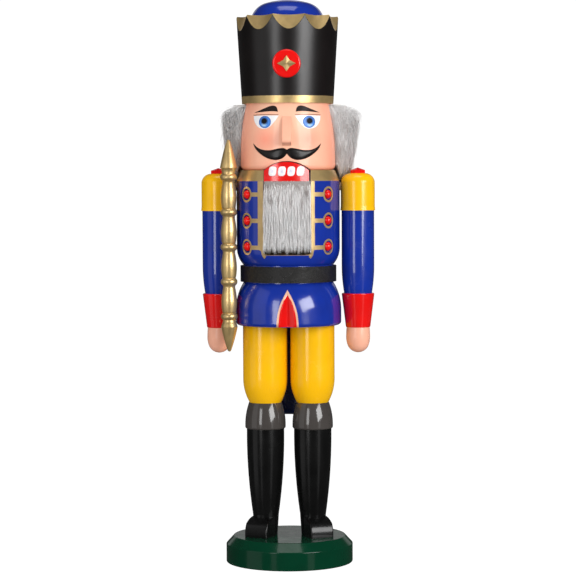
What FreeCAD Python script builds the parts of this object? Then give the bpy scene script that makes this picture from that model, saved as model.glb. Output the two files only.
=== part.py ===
"""Turned wooden nutcracker soldier with a working jaw lever.

The figure stands on its base plate and faces -Y, with +Z up and +X at its left hand.
The origin is the centre of the underside of the base plate. Millimetres.
"""
import FreeCAD, Part
import math
import os

import Sketcher

V = FreeCAD.Vector
DOC = FreeCAD.newDocument("nutcracker")

# Driving dimensions. Heights ending in _z are measured up from the table.
SIZES = {
    # base plate
    "base_radius": 45.3,
    "base_side": 13.0,
    "base_height": 19.0,
    "base_chamfer": 5.5,
    "base_softening": 0.8,
    "socket_depth": 10.0,
    # legs, from the boot up
    "leg_offset": 16.9,
    "boot_foot_radius": 8.4,
    "boot_ankle_radius": 9.3,
    "boot_ankle_z": 34.0,
    "boot_top_radius": 13.4,
    "boot_top_z": 95.5,
    "boot_swell": 410.0,
    "shoe_width": 17.2,
    "shoe_reach": 18.2,
    "shoe_heel": 3.6,
    "shoe_crease_reach": 16.0,
    "shoe_crease_height": 10.0,
    "shoe_height": 13.7,
    "shoe_instep_round": 24.0,
    "shoe_toe_round": 14.0,
    "shoe_turn_out": 22.0,
    "shoe_softening": 1.0,
    "knee_cuff_radius": 14.5,
    "knee_cuff_wide_z": 98.2,
    "knee_cuff_top_radius": 11.7,
    "knee_cuff_top_z": 114.3,
    "knee_cuff_swell": 47.0,
    "knee_cuff_round": 1.4,
    "trouser_radius": 15.8,
    "trouser_straight_z": 131.0,
    "trouser_hem_radius": 11.3,
    "trouser_swell": 34.8,
    "leg_dowel_radius": 4.0,
    "leg_dowel_top": 16.0,
    # coat
    "coat_hem_z": 170.0,
    "coat_hem_radius": 35.6,
    "coat_hem_round": 2.6,
    "skirt_radius": 37.6,
    "skirt_wide_z": 180.5,
    "skirt_swell": 36.8,
    "waist_radius": 32.0,
    "waist_low_z": 200.4,
    "waist_high_z": 212.8,
    "chest_radius": 36.7,
    "chest_low_z": 225.0,
    "chest_swell": 18.2,
    "notch_forward": 42.0,
    "notch_low_z": 167.2,
    "notch_depth": 9.0,
    "notch_half_width": 13.05,
    "notch_height": 40.0,
    "notch_lean": 5.2,
    "collar_low_z": 272.4,
    "collar_top_radius": 33.4,
    "collar_top_z": 280.0,
    # slot for the jaw lever
    "slot_width": 33.0,
    "slot_floor_z": 220.6,
    "slot_back_depth": 20.0,
    "slot_arch_radius": 24.3,
    "slot_arch_peak_z": 286.3,
    # head
    "head_radius": 33.6,
    "head_round": 3.6,
    "head_straight_z": 297.0,
    "head_top_radius": 30.3,
    "head_top_z": 327.0,
    "head_swell": 138.0,
    "nose_width": 6.2,
    "nose_low_z": 297.0,
    "nose_top_z": 317.5,
    "nose_tip_z": 300.6,
    "nose_tip_reach": 42.0,
    "nose_tip_round": 1.7,
    "nose_seat": 30.5,
    "nose_bridge_reach": 32.1,
    # hat
    "hat_low_radius": 32.5,
    "hat_rim_radius": 36.2,
    "hat_rim_z": 388.8,
    "hat_dish_radius": 26.5,
    "hat_dish_z": 386.8,
    "hat_seat_z": 384.0,
    "scallop_count": 10,
    "scallop_cutter_radius": 30.0,
    "scallop_depth": 3.9,
    "scallop_height": 11.1,
    "scallop_turn": 2.7,
    "cushion_radius": 26.3,
    "cushion_round": 14.9,
    "cushion_crown_radius": 15.5,
    "cushion_crown_z": 398.2,
    "figure_height": 400.4,
    "cushion_tenon_radius": 6.0,
    "cushion_tenon_length": 8.0,
    "rosette_radius": 9.9,
    "rosette_thickness": 4.4,
    "rosette_round": 1.4,
    "rosette_seat": 32.0,
    "rosette_z": 354.0,
    "star_half_width": 6.5,
    "star_half_height": 5.5,
    "star_notch": 3.2,
    "star_edge": 0.5,
    "star_peak": 1.8,
    # arms
    "arm_offset": 49.6,
    "cap_radius": 12.1,
    "cap_hem_radius": 12.4,
    "cap_hem_z": 251.3,
    "cap_hem_height": 3.0,
    "cap_round": 6.8,
    "cap_top_z": 277.7,
    "stud_radius": 5.6,
    "stud_edge": 2.2,
    "stud_peak": 4.0,
    "stud_sides": 8,
    "sleeve_radius": 11.6,
    "sleeve_straight_z": 212.0,
    "sleeve_swell": 115.0,
    "wrist_radius": 9.9,
    "wrist_cuff_top_radius": 11.7,
    "wrist_cuff_top_z": 192.3,
    "wrist_cuff_low_radius": 8.7,
    "wrist_cuff_low_z": 168.0,
    "wrist_cuff_softening": 0.6,
    "hand_low_z": 149.9,
    "hand_palm_radius": 7.52,
    "hand_palm_z": 155.16,
    "hand_radius": 8.55,
    "hand_wide_z": 160.97,
    "hand_palm_swell": 17.0,
    "hand_wrist_radius": 8.2,
    "hand_wrist_swell": 72.0,
    "arm_dowel_radius": 2.5,
    "arm_dowel_low_z": 156.0,
    "arm_dowel_top_z": 262.0,
    "shoulder_dowel_radius": 3.0,
    "shoulder_dowel_z": 268.5,
    "shoulder_dowel_inner": 27.0,
    # sceptre
    "sceptre_offset": 41.6,
    "sceptre_forward": 17.4,
    "sceptre_low_z": 152.0,
    "sceptre_length": 149.6,
    "sceptre_dowel_radius": 1.5,
    "sceptre_tip_radius": 1.3,
    "sceptre_tip_rise": 1.0,
    "sceptre_cone_radius": 5.9,
    "sceptre_cone_height": 17.6,
    "sceptre_cone_swell": 120.0,
    "sceptre_shoulder_radius": 5.2,
    "sceptre_shoulder_height": 19.9,
    "sceptre_bead_height": 24.9,
    "sceptre_bead_pitch": 24.55,
    "sceptre_bead_half": 2.5,
    "sceptre_bead_edge": 4.6,
    "sceptre_bead_round": 3.0,
    "sceptre_groove": 0.6,
    "sceptre_stem_low_radius": 4.9,
    "sceptre_stem_radius": 5.6,
    "sceptre_stem_rise": 10.6,
    "sceptre_stem_low_swell": 40.0,
    "sceptre_waist_radius": 4.3,
    "sceptre_waist_drop": 1.6,
    "sceptre_stem_top_swell": 60.0,
    "sceptre_waist_hollow": 3.0,
    "sceptre_shoulder_hollow": 6.0,
    "sceptre_spike_radius": 6.0,
    "sceptre_spike_height": 129.8,
    "sceptre_spike_swell": 150.0,
    "sceptre_point_radius": 1.2,
    "sceptre_point_height": 148.7,
    # hinge and lever
    "pin_radius": 2.5,
    "pin_length": 69.0,
    "pin_clearance": 0.08,
    "pivot_back": 9.0,
    "pivot_z": 243.0,
    "jaw_width": 31.4,
    "jaw_shift": 0.45,
    "jaw_front_radius": 36.0,
    "jaw_arch_radius": 23.5,
    "jaw_arch_peak_z": 285.7,
    "jaw_low_z": 249.5,
    "jaw_lip_back": 29.0,
    "nut_seat_z": 262.0,
    "lever_knuckle_radius": 11.0,
    "lever_throat_reach": 6.0,
    "lever_throat_drop": 4.0,
    "lever_throat_hollow": 14.0,
    "lever_back_hollow": 24.0,
    "lever_lip_round": 5.0,
    "lever_shoulder_round": 9.0,
    "handle_inner": 22.0,
    "handle_outer": 36.8,
    "handle_shoulder_z": 262.0,
    "handle_tail_z": 102.0,
    "handle_tail_inner": 27.5,
    "handle_tail_outer": 40.6,
    "handle_tail_inner_round": 5.6,
    "handle_tail_outer_round": 6.4,
    "handle_inner_sweep": 420.0,
    "handle_outer_sweep": 400.0,
    "handle_back_sweep": 600.0,
    "handle_neck_sweep": 60.0,
    # soft parts
    "beard_thickness": 5.2,
    "beard_low_z": 224.0,
    "beard_top_z": 272.0,
    "beard_sweep": 47.0,
    "beard_top_taper": 2.5,
    "beard_foot_taper": 1.5,
    "beard_swell": 18.0,
    "beard_wide_drop": 8.0,
    "hair_gap": 0.15,
    "hair_low_z": 284.0,
    "hair_low_radius": 42.5,
    "hair_wide_radius": 45.2,
    "hair_wide_z": 296.0,
    "hair_crown_radius": 43.6,
    "hair_crown_z": 317.0,
    "hair_top_radius": 37.0,
    "hair_top_z": 326.0,
    "hair_sweep": 200.0,
    "hair_low_swell": 22.0,
    "hair_side_swell": 60.0,
    "hair_crown_swell": 16.0,
    # belt and buttons
    "belt_thickness": 2.2,
    "belt_low_z": 201.0,
    "belt_height": 11.3,
    "button_radius": 3.3,
    "button_dome": 3.2,
    "button_tenon_radius": 1.6,
    "button_tenon_length": 3.0,
    "button_recess_radius": 4.1,
    "button_recess_depth": 1.2,
    "button_angle": 51.5,
    # neck and hat dowels
    "neck_dowel_radius": 3.0,
    "neck_dowel_offset": 23.0,
    "neck_dowel_back": 10.0,
    "neck_dowel_half": 11.0,
    "hat_dowel_radius": 5.0,
    "hat_dowel_half": 12.0,
}
BUTTON_ROWS = {"top": (263.0, 0.0), "middle": (244.6, 0.0), "bottom": (226.4, 9.0)}
SIDES = {"left": 1, "right": -1}
DOME = "dome"


class Size:
    """A length with its number and the expression that binds it to the sheet."""

    def __init__(self, value, text=None):
        self.value = float(value)
        self.text = text or repr(float(value))

    @staticmethod
    def of(other):
        return other if isinstance(other, Size) else Size(other)

    def _join(self, sign, other, value):
        return Size(value, f"({self.text} {sign} {other.text})")

    def __add__(self, other):
        other = Size.of(other)
        return self._join("+", other, self.value + other.value)

    def __sub__(self, other):
        other = Size.of(other)
        return self._join("-", other, self.value - other.value)

    def __mul__(self, other):
        other = Size.of(other)
        return self._join("*", other, self.value * other.value)

    def __truediv__(self, other):
        other = Size.of(other)
        return self._join("/", other, self.value / other.value)

    def __neg__(self):
        return Size(0) - self


def make_sheet():
    sheet = DOC.addObject("Spreadsheet::Sheet", "Sizes")
    for row, (alias, value) in enumerate(SIZES.items(), start=1):
        sheet.set(f"A{row}", alias)
        sheet.set(f"B{row}", str(value))
        sheet.setAlias(f"B{row}", alias)
    DOC.recompute()
    return sheet


SHEET = make_sheet()


class Sheet:
    """Reads one driving dimension from the sheet as a Size."""

    def __getattr__(self, alias):
        return Size(SHEET.get(alias), f"Sizes.{alias}")


S = Sheet()


def bind(item, path, size):
    """Tie one property of a feature to the sheet."""
    item.setExpression(path, Size.of(size).text)


def place(item, x=0, y=0, z=0, axis=V(0, 0, 1), angle=0):
    """Stand an object at a point, turned by an angle about an axis."""
    x, y, z = Size.of(x), Size.of(y), Size.of(z)
    spot = V(x.value, y.value, z.value)
    item.Placement = FreeCAD.Placement(spot, FreeCAD.Rotation(axis, Size.of(angle).value))
    for letter, size in (("x", x), ("y", y), ("z", z)):
        bind(item, f"Placement.Base.{letter}", size)


# ---------------------------------------------------------------- sketches and features

def new_body(label):
    body = DOC.addObject("PartDesign::Body", label)
    body.Label = label
    return body


def origin_plane(body, role):
    return next(f for f in body.Origin.OriginFeatures if f.Role == role)


def arc_between(start, end, radius):
    """The short arc of a signed radius: positive turns left, negative turns right."""
    chord = end - start
    reach = math.sqrt(radius * radius - chord.Length ** 2 / 4)
    normal = V(-chord.y, chord.x, 0).normalize()
    centre = (start + end) * 0.5 + normal * math.copysign(reach, radius)
    first, last = (start, end) if radius > 0 else (end, start)
    angles = [math.atan2(p.y - centre.y, p.x - centre.x) for p in (first, last)]
    if angles[1] < angles[0]:
        angles[1] += 2 * math.pi
    return Part.ArcOfCircle(Part.Circle(centre, V(0, 0, 1), abs(radius)), *angles)


def dome_radius(start, end):
    """Radius of the arc through two points whose centre lies on the upright axis."""
    half_width = max(start.x, end.x)
    rise = abs(end.y - start.y)
    return (half_width ** 2 + rise ** 2) / (2 * rise)


def pin_point(sketch, edge, end, across, up):
    """Hold one sketch point at its two distances from the origin."""
    for kind, axis_id, size in (("DistanceX", -2, across), ("DistanceY", -1, up)):
        if abs(size.value) < 1e-9:
            sketch.addConstraint(Sketcher.Constraint("PointOnObject", edge, end, axis_id))
        else:
            index = sketch.addConstraint(Sketcher.Constraint(kind, edge, end, size.value))
            bind(sketch, f"Constraints[{index}]", size)


def outline(body, name, role, points):
    """A closed sketch on an origin plane, drawn anticlockwise.

    Each point is (across, up) or (across, up, radius): the radius is that of the arc
    arriving at the point, positive where the outline bulges outwards. DOME in place of a
    radius centres the arc on the upright axis, so that it meets the axis squarely.
    """
    sketch = body.newObject("Sketcher::SketchObject", name)
    sketch.AttachmentSupport = (origin_plane(body, role), [""])
    sketch.MapMode = "FlatFace"
    corners = [(Size.of(p[0]), Size.of(p[1])) for p in points]
    spots = [V(across.value, up.value, 0) for across, up in corners]
    ends = []
    for index, point in enumerate(points):
        start, end = spots[index - 1], spots[index]
        if len(point) == 3 and point[2] is DOME:
            edge = sketch.addGeometry(arc_between(start, end, dome_radius(start, end)), False)
            ends.append((edge, 1, 2))
            sketch.addConstraint(Sketcher.Constraint("PointOnObject", edge, 3, -2))
        elif len(point) == 3:
            radius = Size.of(point[2])
            edge = sketch.addGeometry(arc_between(start, end, radius.value), False)
            ends.append((edge, 1, 2) if radius.value > 0 else (edge, 2, 1))
            bow = radius if radius.value > 0 else -radius
            held = sketch.addConstraint(Sketcher.Constraint("Radius", edge, bow.value))
            bind(sketch, f"Constraints[{held}]", bow)
        else:
            edge = sketch.addGeometry(Part.LineSegment(start, end), False)
            ends.append((edge, 1, 2))
    for index, (edge, first, last) in enumerate(ends):
        following, next_first, _ = ends[(index + 1) % len(ends)]
        joint = Sketcher.Constraint("Coincident", edge, last, following, next_first)
        sketch.addConstraint(joint)
        pin_point(sketch, edge, last, *corners[index])
    return sketch


def volume_of(feature):
    DOC.recompute()
    return feature.Shape.Volume


def turn(body, points, name="Turning", role="XZ_Plane", sweep=360, symmetric=False):
    """Turn an outline about Z, as on a lathe."""
    feature = body.newObject("PartDesign::Revolution", name)
    feature.Profile = outline(body, name + "Outline", role, points)
    feature.ReferenceAxis = (feature.Profile[0], ["V_Axis"])
    feature.Midplane = symmetric
    bind(feature, "Angle", sweep)
    return feature


def pad(body, points, width, name="Block", role="YZ_Plane"):
    """Saw a block to an outline, centred on the sketch plane."""
    feature = body.newObject("PartDesign::Pad", name)
    feature.Profile = outline(body, name + "Outline", role, points)
    feature.Midplane = True
    bind(feature, "Length", width)
    return feature


def saw_through(body, points, name, role="XZ_Plane"):
    """Cut an outline right through the body, both ways from the sketch plane."""
    before = volume_of(body)
    feature = body.newObject("PartDesign::Pocket", name)
    feature.Profile = outline(body, name + "Outline", role, points)
    feature.Midplane = True
    feature.Type = "ThroughAll"
    if volume_of(body) > before - 1:
        raise RuntimeError(f"{body.Label}: {name} removes nothing")
    return feature


def bore(body, name, radius, length, x=0, y=0, z=0, axis=V(0, 0, 1), angle=0):
    """Drill a round hole that starts at a point and runs along the turned Z axis."""
    before = volume_of(body)
    feature = body.newObject("PartDesign::SubtractiveCylinder", name)
    bind(feature, "Radius", radius)
    bind(feature, "Height", length)
    place(feature, x, y, z, axis, angle)
    if volume_of(body) > before - 0.1:
        raise RuntimeError(f"{body.Label}: {name} removes nothing")
    return feature


def box_cut(body, name, width, depth, height, x, y, z):
    """Mill away a box whose lowest corner is given."""
    before = volume_of(body)
    feature = body.newObject("PartDesign::SubtractiveBox", name)
    for prop, size in (("Length", width), ("Width", depth), ("Height", height)):
        bind(feature, prop, size)
    place(feature, x, y, z)
    if volume_of(body) > before - 1:
        raise RuntimeError(f"{body.Label}: {name} removes nothing")
    return feature


def soften(body, name, radius, keep):
    """Fillet the edges of the body's last feature that a test picks out."""
    DOC.recompute()
    base = body.Tip
    edges = [f"Edge{i}" for i, edge in enumerate(base.Shape.Edges, start=1) if keep(edge)]
    if not edges:
        raise RuntimeError(f"{body.Label}: no edge to soften for {name}")
    feature = body.newObject("PartDesign::Fillet", name)
    feature.Base = (base, edges)
    bind(feature, "Radius", radius)
    return feature


def ring_at(radius, height):
    """Test for the full circle of a radius about Z at a height."""
    def keep(edge):
        curve = edge.Curve
        return (isinstance(curve, Part.Circle)
                and abs(curve.Radius - radius.value) < 1e-3
                and abs(curve.Center.z - height.value) < 1e-3
                and math.hypot(curve.Center.x, curve.Center.y) < 1e-3)
    return keep


def dowel(label, radius, length, x=0, y=0, z=0, axis=V(0, 0, 1), angle=0):
    """A plain round rod that starts at a point."""
    rod = DOC.addObject("Part::Cylinder", label)
    rod.Label = label
    bind(rod, "Radius", radius)
    bind(rod, "Height", length)
    place(rod, x, y, z, axis, angle)
    return rod


def cut_gem(label, corners, edge_height, peak_height):
    """A flat-bottomed faceted stud: upright rim, then facets rising to one peak."""
    low = [V(x, y, 0) for x, y in corners]
    high = [V(x, y, edge_height.value) for x, y in corners]
    peak = V(0, 0, peak_height.value)
    faces = [Part.Face(Part.makePolygon(low + low[:1]))]
    for index in range(len(corners)):
        after = (index + 1) % len(corners)
        side = [low[index], low[after], high[after], high[index], low[index]]
        faces.append(Part.Face(Part.makePolygon(side)))
        facet = [high[index], high[after], peak, high[index]]
        faces.append(Part.Face(Part.makePolygon(facet)))
    gem = DOC.addObject("Part::Feature", label)
    gem.Label = label
    solid = Part.makeSolid(Part.makeShell(faces))
    if solid.Volume < 0:
        solid.reverse()
    gem.Shape = solid
    return gem


# ---------------------------------------------------------------- base and legs

def base_plate():
    body = new_body("base_plate")
    turn(body, [
        (0, 0),
        (S.base_radius, 0),
        (S.base_radius, S.base_side),
        (S.base_radius - S.base_chamfer, S.base_height),
        (0, S.base_height),
    ])
    for name, radius, height in (
        ("FootEdge", S.base_radius, Size(0)),
        ("SideEdge", S.base_radius, S.base_side),
        ("TopEdge", S.base_radius - S.base_chamfer, S.base_height),
    ):
        soften(body, name, S.base_softening, ring_at(radius, height))
    for side, sign in SIDES.items():
        bore(body, f"{side}Socket", S.leg_dowel_radius, S.socket_depth + 1,
             x=S.leg_offset * sign, z=S.base_height - S.socket_depth)
    return body


def boot(side, sign):
    body = new_body(f"{side}_boot")
    turn(body, [
        (0, S.base_height),
        (S.boot_foot_radius, S.base_height),
        (S.boot_ankle_radius, S.boot_ankle_z),
        (S.boot_top_radius, S.boot_top_z, S.boot_swell),
        (0, S.boot_top_z),
    ])
    bore(body, "DowelBore", S.leg_dowel_radius, S.boot_top_z, z=1)
    place(body, x=S.leg_offset * sign)
    return body


def shoe(side, sign):
    """Toe block glued against the front of the boot and turned outwards."""
    body = new_body(f"{side}_shoe")
    floor = S.base_height
    pad(body, [
        (-S.shoe_heel, floor + S.shoe_height),
        (-S.shoe_crease_reach, floor + S.shoe_crease_height, S.shoe_instep_round),
        (-S.shoe_reach, floor, S.shoe_toe_round),
        (-S.shoe_heel, floor),
    ], S.shoe_width)
    half = S.shoe_width.value / 2

    def outer_rim(edge):
        """Curved edges of the two side faces, over the instep and down the toe."""
        at_side = all(abs(abs(vertex.X) - half) < 1e-3 for vertex in edge.Vertexes)
        return at_side and not isinstance(edge.Curve, Part.Line)

    soften(body, "SideEdges", S.shoe_softening, outer_rim)
    before = volume_of(body)
    notch = body.newObject("PartDesign::SubtractiveCone", "BootNotch")
    bind(notch, "Radius1", S.boot_foot_radius)
    bind(notch, "Radius2", S.boot_ankle_radius)
    bind(notch, "Height", S.boot_ankle_z - S.base_height)
    place(notch, z=floor)
    if volume_of(body) > before - 1:
        raise RuntimeError(f"{body.Label}: the boot notch removes nothing")
    place(body, x=S.leg_offset * sign, angle=S.shoe_turn_out * sign)
    return body


def knee_cuff(side, sign):
    body = new_body(f"{side}_knee_cuff")
    turn(body, [
        (0, S.boot_top_z),
        (S.knee_cuff_radius, S.boot_top_z),
        (S.knee_cuff_radius, S.knee_cuff_wide_z),
        (S.knee_cuff_top_radius, S.knee_cuff_top_z, S.knee_cuff_swell),
        (0, S.knee_cuff_top_z),
    ])
    soften(body, "HemEdge", S.knee_cuff_round, ring_at(S.knee_cuff_radius, S.boot_top_z))
    bore(body, "DowelBore", S.leg_dowel_radius, S.knee_cuff_top_z, z=1)
    place(body, x=S.leg_offset * sign)
    return body


def trouser_leg(side, sign):
    body = new_body(f"{side}_trouser_leg")
    turn(body, [
        (0, S.knee_cuff_top_z),
        (S.trouser_hem_radius, S.knee_cuff_top_z),
        (S.trouser_radius, S.trouser_straight_z, S.trouser_swell),
        (S.trouser_radius, S.coat_hem_z),
        (0, S.coat_hem_z),
    ])
    bore(body, "DowelBore", S.leg_dowel_radius, S.coat_hem_z, z=1)
    place(body, x=S.leg_offset * sign)
    return body


def leg_dowel(side, sign):
    foot = S.base_height - S.socket_depth
    return dowel(f"{side}_leg_dowel", S.leg_dowel_radius,
                 S.coat_hem_z + S.leg_dowel_top - foot, x=S.leg_offset * sign, z=foot)


# ---------------------------------------------------------------- coat, belt and buttons

def slot_arch(half, arch_radius, peak, low):
    """Upright slot outline whose top is an arc rising to a peak."""
    rise = arch_radius.value - math.sqrt(arch_radius.value ** 2 - half.value ** 2)
    spring = peak - rise
    return [
        (-half, spring, arch_radius),
        (-half, low),
        (half, low),
        (half, spring),
    ]


def coat_body():
    """Chest, waist and skirt turned in one, slotted for the jaw lever."""
    body = new_body("coat_body")
    turn(body, [
        (0, S.coat_hem_z),
        (S.coat_hem_radius, S.coat_hem_z),
        (S.skirt_radius, S.coat_hem_z + S.coat_hem_round, S.coat_hem_round),
        (S.skirt_radius, S.skirt_wide_z),
        (S.waist_radius, S.waist_low_z, S.skirt_swell),
        (S.waist_radius, S.waist_high_z),
        (S.chest_radius, S.chest_low_z, S.chest_swell),
        (S.chest_radius, S.collar_low_z),
        (S.collar_top_radius, S.collar_top_z),
        (0, S.collar_top_z),
    ])
    half = S.slot_width / 2
    reach = S.skirt_radius + 5
    box_cut(body, "JawSlot", S.slot_width, reach * 2, S.collar_top_z - S.slot_floor_z + 1,
            -half, -reach, S.slot_floor_z)
    box_cut(body, "HandleSlot", S.slot_width, reach - S.slot_back_depth,
            S.slot_floor_z - S.coat_hem_z + 2, -half, S.slot_back_depth, S.coat_hem_z - 1)
    for side, sign in SIDES.items():
        bore(body, f"{side}LegSocket", S.leg_dowel_radius, S.leg_dowel_top + 1,
             x=S.leg_offset * sign, z=S.coat_hem_z - 1)
        bore(body, f"{side}NeckSocket", S.neck_dowel_radius, S.neck_dowel_half + 1,
             x=S.neck_dowel_offset * sign, y=S.neck_dowel_back,
             z=S.collar_top_z - S.neck_dowel_half)
        bore(body, f"{side}ShoulderSocket", S.shoulder_dowel_radius, S.chest_radius,
             x=S.shoulder_dowel_inner * sign, z=S.shoulder_dowel_z,
             axis=V(0, 1, 0), angle=90 * sign)
    bore(body, "PinBore", S.pin_radius, S.pin_length + 6, x=-S.pin_length / 2 - 3,
         y=S.pivot_back, z=S.pivot_z, axis=V(0, 1, 0), angle=90)
    for side, sign in SIDES.items():
        for row in BUTTON_ROWS:
            button_seat(body, side, sign, row)
    skirt_notch(body)
    return body


def skirt_notch(body):
    """V-shaped cut up the front of the skirt, leaning so that it runs out below the belt."""
    before = volume_of(body)
    cut = body.newObject("PartDesign::SubtractiveWedge", "SkirtNotch")
    for end in ("Ymin", "Zmin", "X2min", "X2max", "Z2min"):
        setattr(cut, end, 0)
    for end, size in (("Xmin", -S.notch_half_width), ("Xmax", S.notch_half_width),
                      ("Ymax", S.notch_depth), ("Zmax", S.notch_height),
                      ("Z2max", S.notch_height)):
        bind(cut, end, size)
    place(cut, y=-S.notch_forward, z=S.notch_low_z, axis=V(1, 0, 0), angle=S.notch_lean)
    if volume_of(body) > before - 1:
        raise RuntimeError("coat_body: the skirt notch removes nothing")


def button_frame(sign, row):
    """Placement of a button: its local Z points out of the coat, zero on the recess floor."""
    height, droop = BUTTON_ROWS[row]
    azimuth = math.radians(S.button_angle.value)
    outward = V(sign * math.sin(azimuth), -math.cos(azimuth), 0)
    sideways = V(0, 0, 1).cross(outward)
    tilt = FreeCAD.Rotation(sideways, droop)
    normal = tilt.multVec(outward)
    floor = S.chest_radius.value - S.button_recess_depth.value
    spot = outward * floor + V(0, 0, height)
    return FreeCAD.Placement(spot, FreeCAD.Rotation(V(0, 0, 1), normal))


def button_seat(body, side, sign, row):
    """Recess and tenon hole for one button."""
    frame = button_frame(sign, row)
    for name, radius, start, length in (
        ("Recess", S.button_recess_radius, Size(0), S.button_recess_depth + 3),
        ("Tenon", S.button_tenon_radius, -S.button_tenon_length, S.button_tenon_length + 1),
    ):
        before = volume_of(body)
        hole = body.newObject("PartDesign::SubtractiveCylinder", f"{side}{row}{name}")
        bind(hole, "Radius", radius)
        bind(hole, "Height", length)
        shift = FreeCAD.Placement(V(0, 0, start.value), FreeCAD.Rotation())
        hole.Placement = frame.multiply(shift)
        if volume_of(body) > before - 0.1:
            raise RuntimeError(f"{side} {row} button {name} removes nothing")


def coat_button(side, sign, row):
    body = new_body(f"{side}_{row}_button")
    turn(body, [
        (0, -S.button_tenon_length),
        (S.button_tenon_radius, -S.button_tenon_length),
        (S.button_tenon_radius, 0),
        (S.button_radius, 0),
        (0, S.button_dome, DOME),
    ])
    body.Placement = button_frame(sign, row)
    return body


def belt():
    """Leather strap round the waist, its two ends stopping at the handle slot."""
    body = new_body("belt")
    outer = S.waist_radius + S.belt_thickness
    top = S.belt_low_z + S.belt_height
    turn(body, [
        (S.waist_radius, S.belt_low_z),
        (outer, S.belt_low_z),
        (outer, top),
        (S.waist_radius, top),
    ])
    box_cut(body, "BeltEnds", S.slot_width + 1, outer + 1, S.belt_height + 2,
            -S.slot_width / 2 - 0.5, 0, S.belt_low_z - 1)
    return body


# ---------------------------------------------------------------- head and hat

def head():
    body = new_body("head")
    turn(body, [
        (0, S.collar_top_z),
        (S.head_radius - S.head_round, S.collar_top_z),
        (S.head_radius, S.collar_top_z + S.head_round, S.head_round),
        (S.head_radius, S.head_straight_z),
        (S.head_top_radius, S.head_top_z, S.head_swell),
        (0, S.head_top_z),
    ])
    saw_through(body, slot_arch(S.slot_width / 2, S.slot_arch_radius, S.slot_arch_peak_z,
                                S.collar_top_z - 5), "MouthArch")
    box_cut(body, "NoseMortise", S.nose_width, S.head_radius - S.nose_seat + 5,
            S.nose_top_z - S.nose_low_z, -S.nose_width / 2, -S.head_radius - 5, S.nose_low_z)
    for side, sign in SIDES.items():
        bore(body, f"{side}NeckSocket", S.neck_dowel_radius, S.neck_dowel_half + 1,
             x=S.neck_dowel_offset * sign, y=S.neck_dowel_back, z=S.collar_top_z - 1)
    bore(body, "HatSocket", S.hat_dowel_radius, S.hat_dowel_half + 1,
         z=S.head_top_z - S.hat_dowel_half)
    return body


def nose():
    body = new_body("nose")
    pad(body, [
        (-S.nose_seat, S.nose_top_z),
        (-S.nose_bridge_reach, S.nose_top_z),
        (-S.nose_tip_reach, S.nose_tip_z),
        (-S.nose_tip_reach + 1.4, S.nose_tip_z - 1.9, S.nose_tip_round),
        (-S.head_radius, S.nose_low_z),
        (-S.nose_seat, S.nose_low_z),
    ], S.nose_width)
    return body


def hat():
    """Tall flared shako with a scalloped, dished crown."""
    body = new_body("hat")
    turn(body, [
        (0, S.head_top_z),
        (S.hat_low_radius, S.head_top_z),
        (S.hat_rim_radius, S.hat_rim_z),
        (S.hat_dish_radius, S.hat_dish_z),
        (S.hat_dish_radius, S.hat_seat_z),
        (0, S.hat_seat_z),
    ])
    scallops(body)
    bore(body, "DowelSocket", S.hat_dowel_radius, S.hat_dowel_half + 1, z=S.head_top_z - 1)
    bore(body, "CushionSocket", S.cushion_tenon_radius, S.cushion_tenon_length + 1,
         z=S.hat_seat_z - S.cushion_tenon_length)
    bore(body, "RosetteSeat", S.rosette_radius, S.hat_rim_radius, y=-S.rosette_seat,
         z=S.rosette_z, axis=V(1, 0, 0), angle=90)
    return body


def scallops(body):
    """Flutes round the crown, cut by a leaning cylindrical cutter."""
    slant = math.hypot(S.scallop_depth.value, S.scallop_height.value)
    lean_x = -S.scallop_depth.value / slant
    lean_z = S.scallop_height.value / slant
    flare = ((S.hat_rim_radius.value - S.hat_low_radius.value)
             / (S.hat_rim_z.value - S.head_top_z.value))
    foot = V(S.hat_rim_radius.value - flare * S.scallop_height.value,
             S.hat_rim_z.value - S.scallop_height.value, 0)
    along = V(lean_x, lean_z, 0)
    outward = V(lean_z, -lean_x, 0) * S.scallop_cutter_radius.value
    overrun = 9
    near = foot - along * overrun
    far = foot + along * (slant + overrun)
    sketch = body.newObject("Sketcher::SketchObject", "ScallopCutter")
    sketch.AttachmentSupport = (origin_plane(body, "YZ_Plane"), [""])
    sketch.MapMode = "FlatFace"
    turned = FreeCAD.Rotation(V(0, 1, 0), S.scallop_turn.value)
    sketch.AttachmentOffset = FreeCAD.Placement(V(0, 0, 0), turned)
    corners = [near, near + outward, far + outward, far]
    # The front of the hat is -Y, so the cutter's outline is mirrored across Z.
    corners = [V(-p.x, p.y, 0) for p in corners]
    for index, corner in enumerate(corners):
        following = corners[(index + 1) % 4]
        sketch.addGeometry(Part.LineSegment(corner, following), False)
        sketch.addConstraint(Sketcher.Constraint("Block", index))
    sketch.addGeometry(Part.LineSegment(corners[1], corners[2]), True)
    sketch.addConstraint(Sketcher.Constraint("Block", 4))
    before = volume_of(body)
    groove = body.newObject("PartDesign::Groove", "Scallop")
    groove.Profile = sketch
    groove.ReferenceAxis = (sketch, ["Axis0"])
    groove.Angle = 360
    if volume_of(body) > before - 1:
        raise RuntimeError("the scallop cutter removes nothing")
    pattern = body.newObject("PartDesign::PolarPattern", "ScallopRing")
    pattern.Originals = [groove]
    pattern.Axis = (next(f for f in body.Origin.OriginFeatures if f.Role == "Z_Axis"), [""])
    pattern.Angle = 360
    bind(pattern, "Occurrences", S.scallop_count)
    body.Tip = pattern


def hat_cushion():
    body = new_body("hat_cushion")
    turn(body, [
        (0, S.hat_seat_z - S.cushion_tenon_length),
        (S.cushion_tenon_radius, S.hat_seat_z - S.cushion_tenon_length),
        (S.cushion_tenon_radius, S.hat_seat_z),
        (S.cushion_radius, S.hat_seat_z),
        (S.cushion_crown_radius, S.cushion_crown_z, S.cushion_round),
        (0, S.figure_height, DOME),
    ])
    return body


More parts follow.
